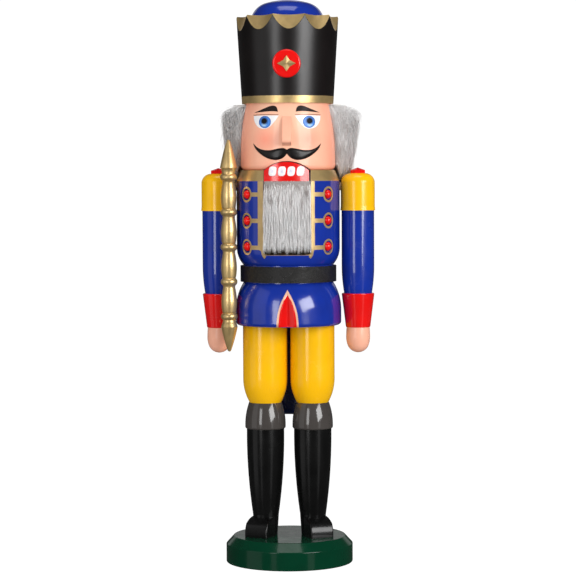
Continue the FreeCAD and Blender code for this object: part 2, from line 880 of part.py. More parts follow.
def hat_rosette():
    """Turned disc let into a flat seat on the front of the hat."""
    body = new_body("hat_rosette")
    turn(body, [
        (0, 0),
        (S.rosette_radius, 0),
        (S.rosette_radius, S.rosette_thickness - S.rosette_round),
        (S.rosette_radius - S.rosette_round, S.rosette_thickness, S.rosette_round),
        (0, S.rosette_thickness),
    ])
    place(body, y=-S.rosette_seat, z=S.rosette_z, axis=V(1, 0, 0), angle=90)
    return body


def rosette_star():
    """Four-pointed faceted star on the rosette."""
    points = []
    for quarter in range(4):
        angle = quarter * math.pi / 2
        reach = S.star_half_width if quarter % 2 == 0 else S.star_half_height
        points.append((reach.value * math.cos(angle), reach.value * math.sin(angle)))
        notch = angle + math.pi / 4
        points.append((S.star_notch.value * math.cos(notch),
                       S.star_notch.value * math.sin(notch)))
    star = cut_gem("rosette_star", points, S.star_edge, S.star_peak)
    place(star, y=-S.rosette_seat - S.rosette_thickness, z=S.rosette_z,
          axis=V(1, 0, 0), angle=90)
    return star


# ---------------------------------------------------------------- hair and beard

def hair():
    """One strip of fur from temple to temple round the back of the head."""
    body = new_body("hair")
    inner = S.head_radius + S.hair_gap
    turn(body, [
        (inner, S.hair_low_z),
        (S.hair_low_radius, S.hair_low_z),
        (S.hair_wide_radius, S.hair_wide_z, S.hair_low_swell),
        (S.hair_crown_radius, S.hair_crown_z, S.hair_side_swell),
        (S.hair_top_radius, S.hair_top_z, S.hair_crown_swell),
        (S.head_top_radius + S.hair_gap * 2, S.hair_top_z),
        (inner, S.head_straight_z, -S.head_swell),
    ], role="YZ_Plane", sweep=S.hair_sweep, symmetric=True)
    return body


def beard():
    """Fur pad glued to the front of the jaw, hanging over the slot."""
    body = new_body("beard")
    outer = S.jaw_front_radius + S.beard_thickness
    turn(body, [
        (-S.jaw_front_radius, S.beard_low_z),
        (-S.jaw_front_radius, S.beard_top_z),
        (-outer + S.beard_top_taper, S.beard_top_z),
        (-outer, S.beard_top_z - S.beard_wide_drop, S.beard_swell),
        (-outer + S.beard_foot_taper, S.beard_low_z),
    ], role="YZ_Plane", sweep=S.beard_sweep, symmetric=True)
    place(body, x=-S.jaw_shift)
    return body


# ---------------------------------------------------------------- arms and sceptre

def shoulder_cap(side, sign):
    body = new_body(f"{side}_shoulder_cap")
    turn(body, [
        (0, S.cap_hem_z),
        (S.cap_hem_radius, S.cap_hem_z),
        (S.cap_radius, S.cap_hem_z + S.cap_hem_height),
        (S.cap_radius, S.cap_top_z - S.cap_round),
        (S.cap_radius - S.cap_round, S.cap_top_z, S.cap_round),
        (0, S.cap_top_z),
    ])
    bore(body, "ArmDowelBore", S.arm_dowel_radius, S.arm_dowel_top_z, z=1)
    bore(body, "ShoulderBore", S.shoulder_dowel_radius, S.cap_radius + 1,
         z=S.shoulder_dowel_z, axis=V(0, 1, 0), angle=-90 * sign)
    place(body, x=S.arm_offset * sign)
    return body


def epaulette_stud(side, sign):
    sides = int(S.stud_sides.value)
    points = []
    for index in range(sides):
        angle = 2 * math.pi * (index + 0.5) / sides
        points.append((S.stud_radius.value * math.cos(angle),
                       S.stud_radius.value * math.sin(angle)))
    stud = cut_gem(f"{side}_epaulette_stud", points, S.stud_edge, S.stud_peak)
    place(stud, x=S.arm_offset * sign, z=S.cap_top_z)
    return stud


def sleeve(side, sign):
    body = new_body(f"{side}_sleeve")
    turn(body, [
        (0, S.wrist_cuff_top_z),
        (S.wrist_radius, S.wrist_cuff_top_z),
        (S.sleeve_radius, S.sleeve_straight_z, S.sleeve_swell),
        (S.sleeve_radius, S.cap_hem_z),
        (0, S.cap_hem_z),
    ])
    bore(body, "ArmDowelBore", S.arm_dowel_radius, S.cap_hem_z, z=1)
    if side == "right":
        sceptre_bore(body, "SceptreBore", "upper")
    place(body, x=S.arm_offset * sign)
    return body


def wrist_cuff(side, sign):
    body = new_body(f"{side}_wrist_cuff")
    turn(body, [
        (0, S.wrist_cuff_low_z),
        (S.wrist_cuff_low_radius, S.wrist_cuff_low_z),
        (S.wrist_cuff_top_radius, S.wrist_cuff_top_z),
        (0, S.wrist_cuff_top_z),
    ])
    for name, radius, height in (
        ("LowEdge", S.wrist_cuff_low_radius, S.wrist_cuff_low_z),
        ("TopEdge", S.wrist_cuff_top_radius, S.wrist_cuff_top_z),
    ):
        soften(body, name, S.wrist_cuff_softening, ring_at(radius, height))
    bore(body, "ArmDowelBore", S.arm_dowel_radius, S.wrist_cuff_top_z, z=1)
    if side == "right":
        sceptre_bore(body, "SceptreBore", "lower")
    place(body, x=S.arm_offset * sign)
    return body


def hand(side, sign):
    body = new_body(f"{side}_hand")
    turn(body, [
        (0, S.hand_low_z),
        (S.hand_palm_radius, S.hand_palm_z, DOME),
        (S.hand_radius, S.hand_wide_z, S.hand_palm_swell),
        (S.hand_wrist_radius, S.wrist_cuff_low_z, S.hand_wrist_swell),
        (0, S.wrist_cuff_low_z),
    ])
    bore(body, "ArmDowelBore", S.arm_dowel_radius, 20, z=S.arm_dowel_low_z)
    place(body, x=S.arm_offset * sign)
    return body


def arm_dowels(side, sign):
    upright = dowel(f"{side}_arm_dowel", S.arm_dowel_radius,
                    S.arm_dowel_top_z - S.arm_dowel_low_z,
                    x=S.arm_offset * sign, z=S.arm_dowel_low_z)
    level = dowel(f"{side}_shoulder_dowel", S.shoulder_dowel_radius,
                  S.arm_offset - S.shoulder_dowel_inner, x=S.shoulder_dowel_inner * sign,
                  z=S.shoulder_dowel_z, axis=V(0, 1, 0), angle=90 * sign)
    return [upright, level]


SCEPTRE_DOWEL_HEIGHTS = {"lower": 185.5, "upper": 234.0}
SCEPTRE_DOWEL_SPAN = (5.5, 16.0)
SCEPTRE_BEADS = 5
SPIKE_STEP = 0.3


def sceptre_direction():
    """Level direction from the right arm's axis to the sceptre's axis."""
    across = S.arm_offset.value - S.sceptre_offset.value
    return V(across, -S.sceptre_forward.value, 0).normalize()


def sceptre_pin_frame(place_name, centre):
    """Placement of a sceptre dowel, seen from an upright axis at centre."""
    direction = sceptre_direction()
    start = centre + direction * SCEPTRE_DOWEL_SPAN[0]
    start.z = SCEPTRE_DOWEL_HEIGHTS[place_name]
    return FreeCAD.Placement(start, FreeCAD.Rotation(V(0, 0, 1), direction))


def sceptre_bore(body, name, place_name, centre=V(0, 0, 0)):
    before = volume_of(body)
    hole = body.newObject("PartDesign::SubtractiveCylinder", name)
    bind(hole, "Radius", S.sceptre_dowel_radius)
    bind(hole, "Height", SCEPTRE_DOWEL_SPAN[1] - SCEPTRE_DOWEL_SPAN[0])
    hole.Placement = sceptre_pin_frame(place_name, centre)
    if volume_of(body) > before - 0.1:
        raise RuntimeError(f"{body.Label}: {name} removes nothing")


def sceptre():
    """Turned staff: a point at each end and five beads with swelling stems between."""
    body = new_body("sceptre")
    low = S.sceptre_low_z
    half, pitch = S.sceptre_bead_half, S.sceptre_bead_pitch
    first = low + S.sceptre_bead_height
    points = [
        (0, low),
        (S.sceptre_tip_radius, low + S.sceptre_tip_rise, DOME),
        (S.sceptre_cone_radius, low + S.sceptre_cone_height, S.sceptre_cone_swell),
        (S.sceptre_shoulder_radius, low + S.sceptre_shoulder_height),
        (S.sceptre_bead_edge, first - half, -S.sceptre_shoulder_hollow),
    ]
    for index in range(SCEPTRE_BEADS):
        bead = first + pitch * index
        points.append((S.sceptre_bead_edge, bead + half, S.sceptre_bead_round))
        if index < SCEPTRE_BEADS - 1:
            points += [
                (S.sceptre_stem_low_radius, bead + half + S.sceptre_groove),
                (S.sceptre_stem_radius, bead + S.sceptre_stem_rise, S.sceptre_stem_low_swell),
                (S.sceptre_waist_radius, bead + pitch - half - S.sceptre_waist_drop,
                 S.sceptre_stem_top_swell),
                (S.sceptre_bead_edge, bead + pitch - half, -S.sceptre_waist_hollow),
            ]
    points += [
        (S.sceptre_stem_radius, low + S.sceptre_spike_height - SPIKE_STEP,
         -S.sceptre_shoulder_hollow),
        (S.sceptre_spike_radius, low + S.sceptre_spike_height),
        (S.sceptre_point_radius, low + S.sceptre_point_height, S.sceptre_spike_swell),
        (0, low + S.sceptre_length, DOME),
    ]
    turn(body, points)
    place(body, x=-S.sceptre_offset, y=-S.sceptre_forward)
    for place_name in SCEPTRE_DOWEL_HEIGHTS:
        back = V(S.sceptre_offset.value - S.arm_offset.value, S.sceptre_forward.value, 0)
        sceptre_bore(body, f"{place_name}Bore", place_name, centre=back)
    return body


def sceptre_dowel(place_name):
    rod = DOC.addObject("Part::Cylinder", f"{place_name}_sceptre_dowel")
    rod.Label = f"{place_name}_sceptre_dowel"
    bind(rod, "Radius", S.sceptre_dowel_radius)
    rod.Height = SCEPTRE_DOWEL_SPAN[1] - SCEPTRE_DOWEL_SPAN[0]
    rod.Placement = sceptre_pin_frame(place_name, V(-S.arm_offset.value, 0, 0))
    return rod


# ---------------------------------------------------------------- jaw lever

def jaw_lever():
    """Jaw, knuckle and coat-tail handle sawn from one board."""
    body = new_body("jaw_lever")
    knuckle = S.lever_knuckle_radius
    front = S.jaw_front_radius + 2
    throat = S.pivot_back - knuckle - S.lever_throat_reach
    underside = S.pivot_z - knuckle
    shoulder = S.lever_shoulder_round
    pad(body, [
        (-front, S.jaw_low_z),
        (throat, S.jaw_low_z - S.lever_throat_drop),
        (S.pivot_back - 2, underside, -S.lever_throat_hollow),
        (S.handle_inner - 1, underside + 1.5, S.lever_back_hollow),
        (S.handle_inner, S.slot_floor_z - 4, -S.handle_neck_sweep),
        (S.handle_inner, S.coat_hem_z),
        (S.handle_tail_inner, S.handle_tail_z + 4, -S.handle_inner_sweep),
        (S.handle_tail_inner + 6, S.handle_tail_z, S.handle_tail_inner_round),
        (S.handle_tail_outer, S.handle_tail_z + 5, S.handle_tail_outer_round),
        (S.handle_outer, S.coat_hem_z + 20, S.handle_outer_sweep),
        (S.handle_outer - 1, S.handle_shoulder_z - shoulder, S.handle_back_sweep),
        (S.handle_outer - shoulder, S.handle_shoulder_z, shoulder),
        (-S.jaw_lip_back + S.lever_lip_round, S.nut_seat_z),
        (-S.jaw_lip_back, S.nut_seat_z + S.lever_lip_round, -S.lever_lip_round),
        (-S.jaw_lip_back, S.jaw_arch_peak_z + 4),
        (-front, S.jaw_arch_peak_z + 4),
    ], S.jaw_width, name="Board")
    trim_front(body)
    trim_arch(body)
    bore(body, "PinBore", S.pin_radius + S.pin_clearance, S.jaw_width + 2,
         x=-S.jaw_width / 2 - 1, y=S.pivot_back, z=S.pivot_z, axis=V(0, 1, 0), angle=90)
    place(body, x=-S.jaw_shift)
    return body


def trim_front(body):
    """Round the front of the jaw to the curve of the face."""
    half = S.jaw_width / 2 + 2
    radius = S.jaw_front_radius
    edge = math.sqrt(radius.value ** 2 - half.value ** 2)
    saw_through(body, [
        (-half, -radius - 4),
        (half, -radius - 4),
        (half, Size(-edge)),
        (-half, Size(-edge), -radius),
    ], "FaceCurve", role="XY_Plane")


def trim_arch(body):
    """Round the top of the lip to a flat arch."""
    half = S.jaw_width / 2 + 2
    radius = S.jaw_arch_radius
    peak = S.jaw_arch_peak_z
    drop = radius.value - math.sqrt(radius.value ** 2 - half.value ** 2)
    saw_through(body, [
        (half, peak + 8),
        (-half, peak + 8),
        (-half, peak - drop),
        (half, peak - drop, -radius),
    ], "LipArch")


def jaw_pin():
    return dowel("jaw_pin", S.pin_radius, S.pin_length, x=-S.pin_length / 2,
                 y=S.pivot_back, z=S.pivot_z, axis=V(0, 1, 0), angle=90)


# ---------------------------------------------------------------- the whole figure

def build_parts():
    parts = [base_plate(), coat_body(), belt(), head(), nose(), hat(), hat_cushion(),
             hat_rosette(), rosette_star(), hair(), beard(), jaw_lever(), jaw_pin(), sceptre()]
    for side, sign in SIDES.items():
        parts += [boot(side, sign), shoe(side, sign), knee_cuff(side, sign),
                  trouser_leg(side, sign), leg_dowel(side, sign)]
        parts += [shoulder_cap(side, sign), epaulette_stud(side, sign), sleeve(side, sign),
                  wrist_cuff(side, sign), hand(side, sign)]
        parts += arm_dowels(side, sign)
        parts += [coat_button(side, sign, row) for row in BUTTON_ROWS]
        parts.append(dowel(f"{side}_neck_dowel", S.neck_dowel_radius, S.neck_dowel_half * 2,
                           x=S.neck_dowel_offset * sign, y=S.neck_dowel_back,
                           z=S.collar_top_z - S.neck_dowel_half))
    parts += [sceptre_dowel(place_name) for place_name in SCEPTRE_DOWEL_HEIGHTS]
    parts.append(dowel("hat_dowel", S.hat_dowel_radius, S.hat_dowel_half * 2,
                       z=S.head_top_z - S.hat_dowel_half))
    return parts


def write_parts(parts):
    """Refuse a failed feature or a bad solid, then write one file per part."""
    DOC.recompute()
    for item in DOC.Objects:
        if any(word in item.State for word in ("Invalid", "Error")):
            raise RuntimeError(f"{item.Label} failed: {item.State}")
    os.makedirs("parts", exist_ok=True)
    for item in parts:
        shape = item.Shape
        if shape.isNull() or not shape.isValid() or not shape.Solids:
            raise RuntimeError(f"{item.Label} has no valid solid")
    for item in parts:
        item.Shape.exportStep(f"parts/{item.Label}.step")
        print(f"{item.Label}: {len(item.Shape.Solids)} solid, {item.Shape.Volume:.0f} mm3")


write_parts(build_parts())
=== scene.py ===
"""Looks of the wooden nutcracker figure.

Lacquer, painted face and braid, leather belt, and fur hair and beard.

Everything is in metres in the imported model's frame: X to the figure's left hand, -Y to its front, Z up.
"""

import math

import bpy
import numpy as np
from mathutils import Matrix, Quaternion, Vector
from mathutils.bvhtree import BVHTree
from mathutils.geometry import delaunay_2d_cdt


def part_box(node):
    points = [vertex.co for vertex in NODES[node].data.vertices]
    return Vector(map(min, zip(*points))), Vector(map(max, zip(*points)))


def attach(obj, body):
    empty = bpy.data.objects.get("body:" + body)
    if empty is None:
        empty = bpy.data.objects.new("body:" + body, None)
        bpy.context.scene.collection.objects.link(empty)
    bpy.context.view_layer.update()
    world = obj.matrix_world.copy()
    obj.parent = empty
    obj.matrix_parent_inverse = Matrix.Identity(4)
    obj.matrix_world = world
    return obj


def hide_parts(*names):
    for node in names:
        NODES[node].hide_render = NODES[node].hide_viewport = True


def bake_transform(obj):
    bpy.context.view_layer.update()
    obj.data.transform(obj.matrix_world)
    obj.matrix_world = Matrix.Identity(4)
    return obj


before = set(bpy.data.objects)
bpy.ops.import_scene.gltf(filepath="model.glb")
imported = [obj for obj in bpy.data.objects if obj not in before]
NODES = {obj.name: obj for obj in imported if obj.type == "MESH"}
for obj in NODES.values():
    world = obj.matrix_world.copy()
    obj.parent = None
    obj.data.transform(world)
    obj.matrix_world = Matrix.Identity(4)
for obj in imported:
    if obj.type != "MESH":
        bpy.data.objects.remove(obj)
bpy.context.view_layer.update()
MM = 0.001
FRONT = Vector((0, -1, 0))
UP = Vector((0, 0, 1))
RIGHT = Vector((1, 0, 0))
SIDES = {"left": 1, "right": -1}
ON_AXIS = 1e-6

# ---------------------------------------------------------------- colours, linear
BLUE = (0.006, 0.028, 0.30)
YELLOW = (0.93, 0.49, 0.002)
RED = (0.76, 0.004, 0.003)
FLESH = (0.95, 0.52, 0.355)
# rose of the airbrushed cheeks, also used as painted shade on the face's sides and foot
CHEEK_ROSE_AND_SHADE = (1.0, 0.33, 0.22)
GREEN = (0.001, 0.034, 0.015)
BLACK = (0.004, 0.004, 0.004)
SOOT = (0.006, 0.004, 0.004)
CUFF_GREY = (0.060, 0.053, 0.049)
GOLD = (0.80, 0.57, 0.25)
# the lever handle's blue, darkened to near black as painted shade
NAVY_DARKENED_AS_SHADE = (0.003, 0.006, 0.05)
PALE_GOLD = (0.85, 0.50, 0.33)
BEECH = (0.60, 0.38, 0.20)
STEEL = (0.45, 0.44, 0.43)
WOOD_FLECK = (0.22, 0.10, 0.04)
LEATHER = (0.020, 0.018, 0.017)
HAND_FLESH = (0.90, 0.44, 0.30)
INK = (0.006, 0.005, 0.005)
PUPIL_BLACK = (0.004, 0.004, 0.005)
BROW_BROWN = (0.016, 0.008, 0.006)
LID_BROWN = (0.22, 0.075, 0.045)
EYE_PAINT = (0.86, 0.86, 0.88)
IRIS_BLUE = (0.06, 0.24, 0.72)
IRIS_RIM = (0.02, 0.08, 0.33)
# painted highlight: the pale glint on the iris
IRIS_GLINT = (0.50, 0.76, 0.95)
IRIS_RING = (0.015, 0.05, 0.20)
ENAMEL = (0.92, 0.90, 0.91)
ENAMEL_CORE = (0.55, 0.52, 0.68)
BRAID_GOLD = (0.66, 0.46, 0.21)
FUR_LIGHT = (0.97, 0.94, 0.93)
FUR_MID = (0.94, 0.89, 0.88)
FUR_DARK = (0.40, 0.35, 0.34)
HIDE_PALE = (0.93, 0.89, 0.88)
HIDE_DARK_GREY = (0.30, 0.27, 0.26)
FLOOR_GREY = (0.12, 0.12, 0.12)
BACKDROP_WHITE = (1.0, 1.0, 1.0)

# ---------------------------------------------------------------- painted shapes, mm on the front
BROW = [[(22.9, 320.2), (16.8, 322.7), (12.6, 324.4), (9.6, 325.0), (7.2, 323.9), (6.1, 320.7)],
        [(6.1, 320.7), (9.0, 321.0), (13.2, 321.0), (22.9, 320.2)]]
EYE_WHITE = [[(5.6, 318.0), (14.5, 318.15), (23.3, 318.0)],
             [(23.3, 318.0), (22.9, 314.6), (21.3, 311.4), (18.6, 309.3), (15.0, 309.0), (11.8, 310.4),
              (8.6, 313.9), (5.6, 318.0)]]
LID = [[(5.8, 318.75), (14.5, 319.0), (23.4, 318.75)], [(23.4, 318.75), (23.5, 318.3)],
       [(23.5, 318.3), (14.5, 318.55), (5.7, 318.35)], [(5.7, 318.35), (5.8, 318.75)]]
IRIS = (15.4, 313.6, 4.35)
PUPIL = (15.8, 314.3, 2.1)
MOUSTACHE = [[(0.0, 294.1), (1.2, 294.9), (3.4, 295.4), (7.4, 294.8), (12.0, 293.9), (16.7, 294.2),
              (20.6, 295.8), (23.7, 298.7)],
             [(23.7, 298.7), (22.2, 295.2), (19.2, 291.9), (15.6, 289.3), (12.0, 287.7), (8.0, 287.0),
              (4.5, 287.6), (1.9, 289.2), (0.0, 291.4)]]
TEETH = {"count": 4, "centre": -0.3, "pitch": 6.5, "middle": 279.2, "half_width": 2.62,
         "half_height": 3.35, "lean": 0.11}
BRAID = {"left": (16.75, 19.2), "right": (16.75, 20.6)}
BRAID_TOP = 272.3
BUTTON_ROWS = {"top": (263.0, False), "middle": (244.6, False), "bottom": (226.4, True)}
BUTTON_ANGLE = 51.5
RING_OUTER = 5.6
RING_INNER = 4.15
BAR_HALF = 1.5
CHEST_RADIUS = 36.7
NOTCH = [(0.0, 196.4), (2.7, 191.5), (5.0, 186.4), (6.7, 180.5), (7.5, 175.0), (7.8, 170.35)]
NOTCH_TRIM = 1.35


# ---------------------------------------------------------------- materials
class Finish:
    """A material made of nodes that read the object's own coordinates."""

    def __init__(self, name):
        self.material = bpy.data.materials.new(name)
        self.material.use_nodes = True
        self.tree = self.material.node_tree
        self.shader = self.tree.nodes["Principled BSDF"]
        self.place = self.node("ShaderNodeTexCoord").outputs["Object"]
        self.height = None

    def node(self, kind, **settings):
        made = self.tree.nodes.new(kind)
        for key, value in settings.items():
            setattr(made, key, value)
        return made

    def feed(self, socket, value):
        """Links value to the socket if it is an output, and sets it if it is a number or colour."""
        if isinstance(value, bpy.types.NodeSocket):
            self.tree.links.new(value, socket)
        elif isinstance(value, (tuple, list)) and len(value) == 3 and socket.type == "RGBA":
            socket.default_value = (*value, 1)
        else:
            socket.default_value = value

    def maths(self, operation, a, b=0.0, clamp=False):
        made = self.node("ShaderNodeMath", operation=operation, use_clamp=clamp)
        self.feed(made.inputs[0], a)
        self.feed(made.inputs[1], b)
        return made.outputs[0]

    def length(self, a, b):
        squares = self.maths("ADD", self.maths("MULTIPLY", a, a), self.maths("MULTIPLY", b, b))
        return self.maths("SQRT", squares)

    def opposite(self, share):
        return self.maths("SUBTRACT", 1.0, share)

    def axes(self):
        """The object's own x, y and z in metres."""
        made = self.node("ShaderNodeSeparateXYZ")
        self.feed(made.inputs[0], self.place)
        return made.outputs

    def stretched(self, scale):
        made = self.node("ShaderNodeMapping")
        self.feed(made.inputs["Vector"], self.place)
        made.inputs["Scale"].default_value = scale
        return made.outputs[0]

    def noise(self, scale, detail=2.0, stretch=None):
        made = self.node("ShaderNodeTexNoise")
        self.feed(made.inputs["Vector"], self.stretched(stretch) if stretch else self.place)
        made.inputs["Scale"].default_value = scale
        made.inputs["Detail"].default_value = detail
        return made.outputs[0]

    def span(self, value, low, high, to_low=0.0, to_high=1.0):
        """value from low to high, carried to to_low to to_high and held there."""
        made = self.node("ShaderNodeMapRange", clamp=True)
        for socket, number in zip(made.inputs, (value, low, high, to_low, to_high)):
            self.feed(socket, number)
        return made.outputs[0]

    def wander(self, scale, low, high, detail=2.0, stretch=None):
        """A number that drifts between low and high over the surface."""
        return self.span(self.noise(scale, detail, stretch), 0.3, 0.7, low, high)

    def blend(self, share, first, second):
        made = self.node("ShaderNodeMix", data_type="RGBA")
        self.feed(made.inputs["Factor"], share)
        self.feed(made.inputs["A"], first)
        self.feed(made.inputs["B"], second)
        return made.outputs["Result"]

    def number(self, share, first, second):
        made = self.node("ShaderNodeMix", data_type="FLOAT")
        self.feed(made.inputs["Factor"], share)
        self.feed(made.inputs["A"], first)
        self.feed(made.inputs["B"], second)
        return made.outputs["Result"]

    def varied(self, colour, amount, scale=70.0, stretch=None):
        """The colour, a little darker and lighter in patches."""
        dark = tuple(c * (1 - amount) for c in colour)
        light = tuple(min(1.0, c * (1 + amount)) for c in colour)
        return self.blend(self.wander(scale, 0.0, 1.0, 3.0, stretch), dark, light)

    def bump(self, height, distance, strength=1.0):
        made = self.node("ShaderNodeBump")
        made.inputs["Strength"].default_value = strength
        made.inputs["Distance"].default_value = distance
        self.feed(made.inputs["Height"], height)
        if self.height is not None:
            self.feed(made.inputs["Normal"], self.height)
        self.height = made.outputs[0]
        self.feed(self.shader.inputs["Normal"], self.height)

    def set(self, **values):
        names = {"colour": "Base Color", "rough": "Roughness", "metal": "Metallic",
                 "coat": "Coat Weight", "coat_rough": "Coat Roughness", "sheen": "Sheen Weight",
                 "specular": "Specular IOR Level"}
        for key, value in values.items():
            self.feed(self.shader.inputs[names[key]], value)


def orange_peel(f):
    """The faint, uneven skin of sprayed lacquer."""
    f.bump(f.noise(190, 1.0), 0.00002)
    f.bump(f.noise(1500, 1.0), 0.000002)


def lacquered(f, colour, rough=0.22, spread=0.07, coat=0.7, coat_rough=0.04, specular=0.28):
    """Sprayed lacquer over turned wood: patchy gloss, orange peel and turning rings below it."""
    f.set(colour=colour, coat=coat, coat_rough=coat_rough, specular=specular)
    f.set(rough=f.wander(110, rough - spread, rough + spread, 3.0))
    orange_peel(f)
    f.bump(f.noise(6.0, 2.0, (4, 4, 160)), 0.000012)
    return f.material


def lacquer(name, colour, shade=0.07, **gloss):
    f = Finish(name)
    return lacquered(f, f.varied(colour, shade), **gloss)


def gold_shade(f, colour=GOLD):
    return f.varied(colour, 0.12, 120)


def gold_rough(f):
    """Brushed patches of metallic lacquer."""
    return f.wander(300, 0.34, 0.44)


def gold_paint(name, colour=GOLD, metal=0.8):
    """Metallic lacquer, with fine flakes and brushed patches."""
    f = Finish(name)
    f.set(colour=gold_shade(f, colour), metal=metal, coat=0.35, coat_rough=0.12)
    f.set(rough=gold_rough(f))
    f.bump(f.noise(2600, 2.0), 0.000002)
    f.bump(f.noise(160, 1.0), 0.00001)
    return f.material


def beech_grain(f, depth=0.6):
    """Long grain up the piece, and the colour that it gives bare beech."""
    grain = f.noise(9.0, 6.0, (60, 60, 3))
    dark = tuple(c * depth for c in BEECH)
    return grain, f.blend(f.span(grain, 0.3, 0.7), dark, BEECH)


def bare_wood(name):
    """Unpainted beech: long grain up the piece, with short dark flecks."""
    f = Finish(name)
    grain, wood = beech_grain(f, 0.62)
    flecks = f.span(f.noise(14.0, 2.0, (160, 160, 14)), 0.62, 0.7)
    f.set(colour=f.blend(f.maths("MULTIPLY", flecks, 0.35), wood, WOOD_FLECK))
    f.set(rough=f.span(grain, 0.3, 0.7, 0.72, 0.58))
    f.bump(grain, 0.00006)
    return f.material


def step_mask(f, value, edge, soft=0.00012):
    """1 where value is above edge."""
    return f.span(value, edge - soft, edge + soft)


def hat_finish():
    """Satin black, with gold on the band at the foot and on the ten carved scallops."""
    f = Finish("hat_paint")
    low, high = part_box("hat")
    x, y, z = f.axes()
    across = f.length(x, y)
    foot_radius = 0.0325
    top_radius = 0.0362
    band_height = 0.0050
    dish_rim = 0.0270
    carving_depth = 0.00022
    scallop_drop = 0.0125
    cone = f.span(z, low.z, high.z, foot_radius, top_radius)
    carved = step_mask(f, f.maths("SUBTRACT", cone, across), carving_depth, 0.00006)
    upper = step_mask(f, z, high.z - scallop_drop)
    outside = step_mask(f, across, dish_rim)
    scallops = f.maths("MULTIPLY", f.maths("MULTIPLY", carved, upper), outside)
    band = f.opposite(step_mask(f, z, low.z + band_height))
    gold = f.maths("MAXIMUM", scallops, band)
    f.set(colour=f.blend(gold, f.varied(SOOT, 0.2, 60), gold_shade(f)),
          metal=f.number(gold, 0.0, 0.8),
          rough=f.number(gold, 0.33, gold_rough(f)),
          coat=0.12, coat_rough=0.25)
    f.bump(f.noise(1.0, 3.0, (3, 3, 1400)), 0.000004)
    return f.material


def coat_finish():
    """Blue lacquer with a gold collar. The sawn slot is bare wood inside."""
    f = Finish("coat_paint")
    x, y, z = f.axes()
    collar_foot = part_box("coat_body")[1].z - 0.0076
    slot_half = 0.01662
    slot_floor = 0.2204
    slot_back = 0.0195
    collar = step_mask(f, z, collar_foot)
    between = f.opposite(step_mask(f, f.maths("ABSOLUTE", x), slot_half, 0.00004))
    above = step_mask(f, z, slot_floor)
    behind = step_mask(f, y, slot_back)
    sawn = f.maths("MULTIPLY", between, f.maths("MAXIMUM", above, behind))
    wood = beech_grain(f)[1]
    paint = f.blend(collar, f.varied(BLUE, 0.08), gold_shade(f))
    painted_rough = f.number(collar, f.wander(110, 0.13, 0.24, 3.0), 0.34)
    gilded = f.maths("MULTIPLY", collar, f.opposite(sawn))
    f.set(colour=f.blend(sawn, paint, wood), coat=0.5, coat_rough=0.04)
    f.set(metal=f.maths("MULTIPLY", gilded, 0.75), rough=f.number(sawn, painted_rough, 0.65))
    orange_peel(f)
    return f.material


def lever_finish():
    """The jaw lever: red lips in front, a blue handle behind painted dark navy as shade, bare wood
    between them.
    """
    f = Finish("lever_paint")
    y, z = f.axes()[1:]
    lip_foot = 0.2715
    lip_back = -0.0285
    handle_front = 0.0225
    front = f.opposite(step_mask(f, y, lip_back, 0.0004))
    lips = f.maths("MULTIPLY", front, step_mask(f, z, lip_foot))
    handle = step_mask(f, y, handle_front)
    grain, wood = beech_grain(f)
    painted_front = f.blend(lips, wood, f.varied(RED, 0.08))
    gloss = f.maths("MAXIMUM", lips, handle)
    # painted shade: the blue handle is coloured near-black navy because it hangs in shadow behind the
    # legs
    f.set(colour=f.blend(handle, painted_front, f.varied(NAVY_DARKENED_AS_SHADE, 0.08)),
          rough=f.number(gloss, 0.62, f.wander(110, 0.15, 0.28)),
          coat=0.4, coat_rough=0.05)
    f.bump(grain, 0.00002)
    f.bump(f.noise(190, 1.0), 0.00002)
    return f.material


def head_finish():
    """Flesh lacquer with airbrushed cheeks, plus painted shade: rosier and darker towards the sides, and
    rosier at the foot as painted reflected light and shade by the collar.
    """
    f = Finish("face_paint")
    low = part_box("head")[0]
    x, _, z = f.axes()
    aside = f.maths("ABSOLUTE", x)
    cheek_x = 0.0155
    cheek_z = low.z + 0.0215
    cheek_radius = 0.013
    away = f.length(f.maths("SUBTRACT", aside, cheek_x), f.maths("SUBTRACT", z, cheek_z))
    cheek = f.span(away, 0.001, cheek_radius, 0.85, 0.0)
    # painted shade: the face turns rosier and darker towards its sides, where the head turns away from
    # the light
    rim = f.span(aside, 0.017, 0.031, 0.0, 0.55)
    # painted reflected light and shade: rosier towards the foot of the head, next to the collar
    foot = f.span(z, low.z, low.z + 0.012, 0.40, 0.0)
    rosy_cheeks_and_painted_shade = f.maths("MAXIMUM", cheek, f.maths("MAXIMUM", rim, foot))
    colour = f.blend(rosy_cheeks_and_painted_shade, f.varied(FLESH, 0.03), CHEEK_ROSE_AND_SHADE)
    return lacquered(f, colour, rough=0.36, spread=0.05, coat=0.25)


def iris_finish():
    """Painted iris: a dark rim, a dark ring round the pupil and a pale crescent that is a painted glint,
    on bright blue.
    """
    f = Finish("iris_paint")
    x, _, z = f.axes()
    aside = f.maths("ABSOLUTE", x)

    def gap(cx, cz):
        """Distance in metres from a point given in mm."""
        return f.length(f.maths("SUBTRACT", aside, cx * MM), f.maths("SUBTRACT", z, cz * MM))

    rim = f.span(gap(*IRIS[:2]), 0.0034, 0.0042)
    # painted highlight: a pale glint low on the iris
    glint = f.span(gap(16.0, 312.0), 0.0006, 0.0022, 0.9, 0.0)
    ring = f.span(gap(*PUPIL[:2]), 0.0023, 0.0030, 1.0, 0.0)
    blue = f.blend(rim, f.varied(IRIS_BLUE, 0.15, 700), IRIS_RIM)
    blue = f.blend(glint, blue, IRIS_GLINT)
    blue = f.blend(f.maths("MULTIPLY", ring, 0.75), blue, IRIS_RING)
    return lacquered(f, blue, rough=0.4, spread=0.05, coat=0.1)


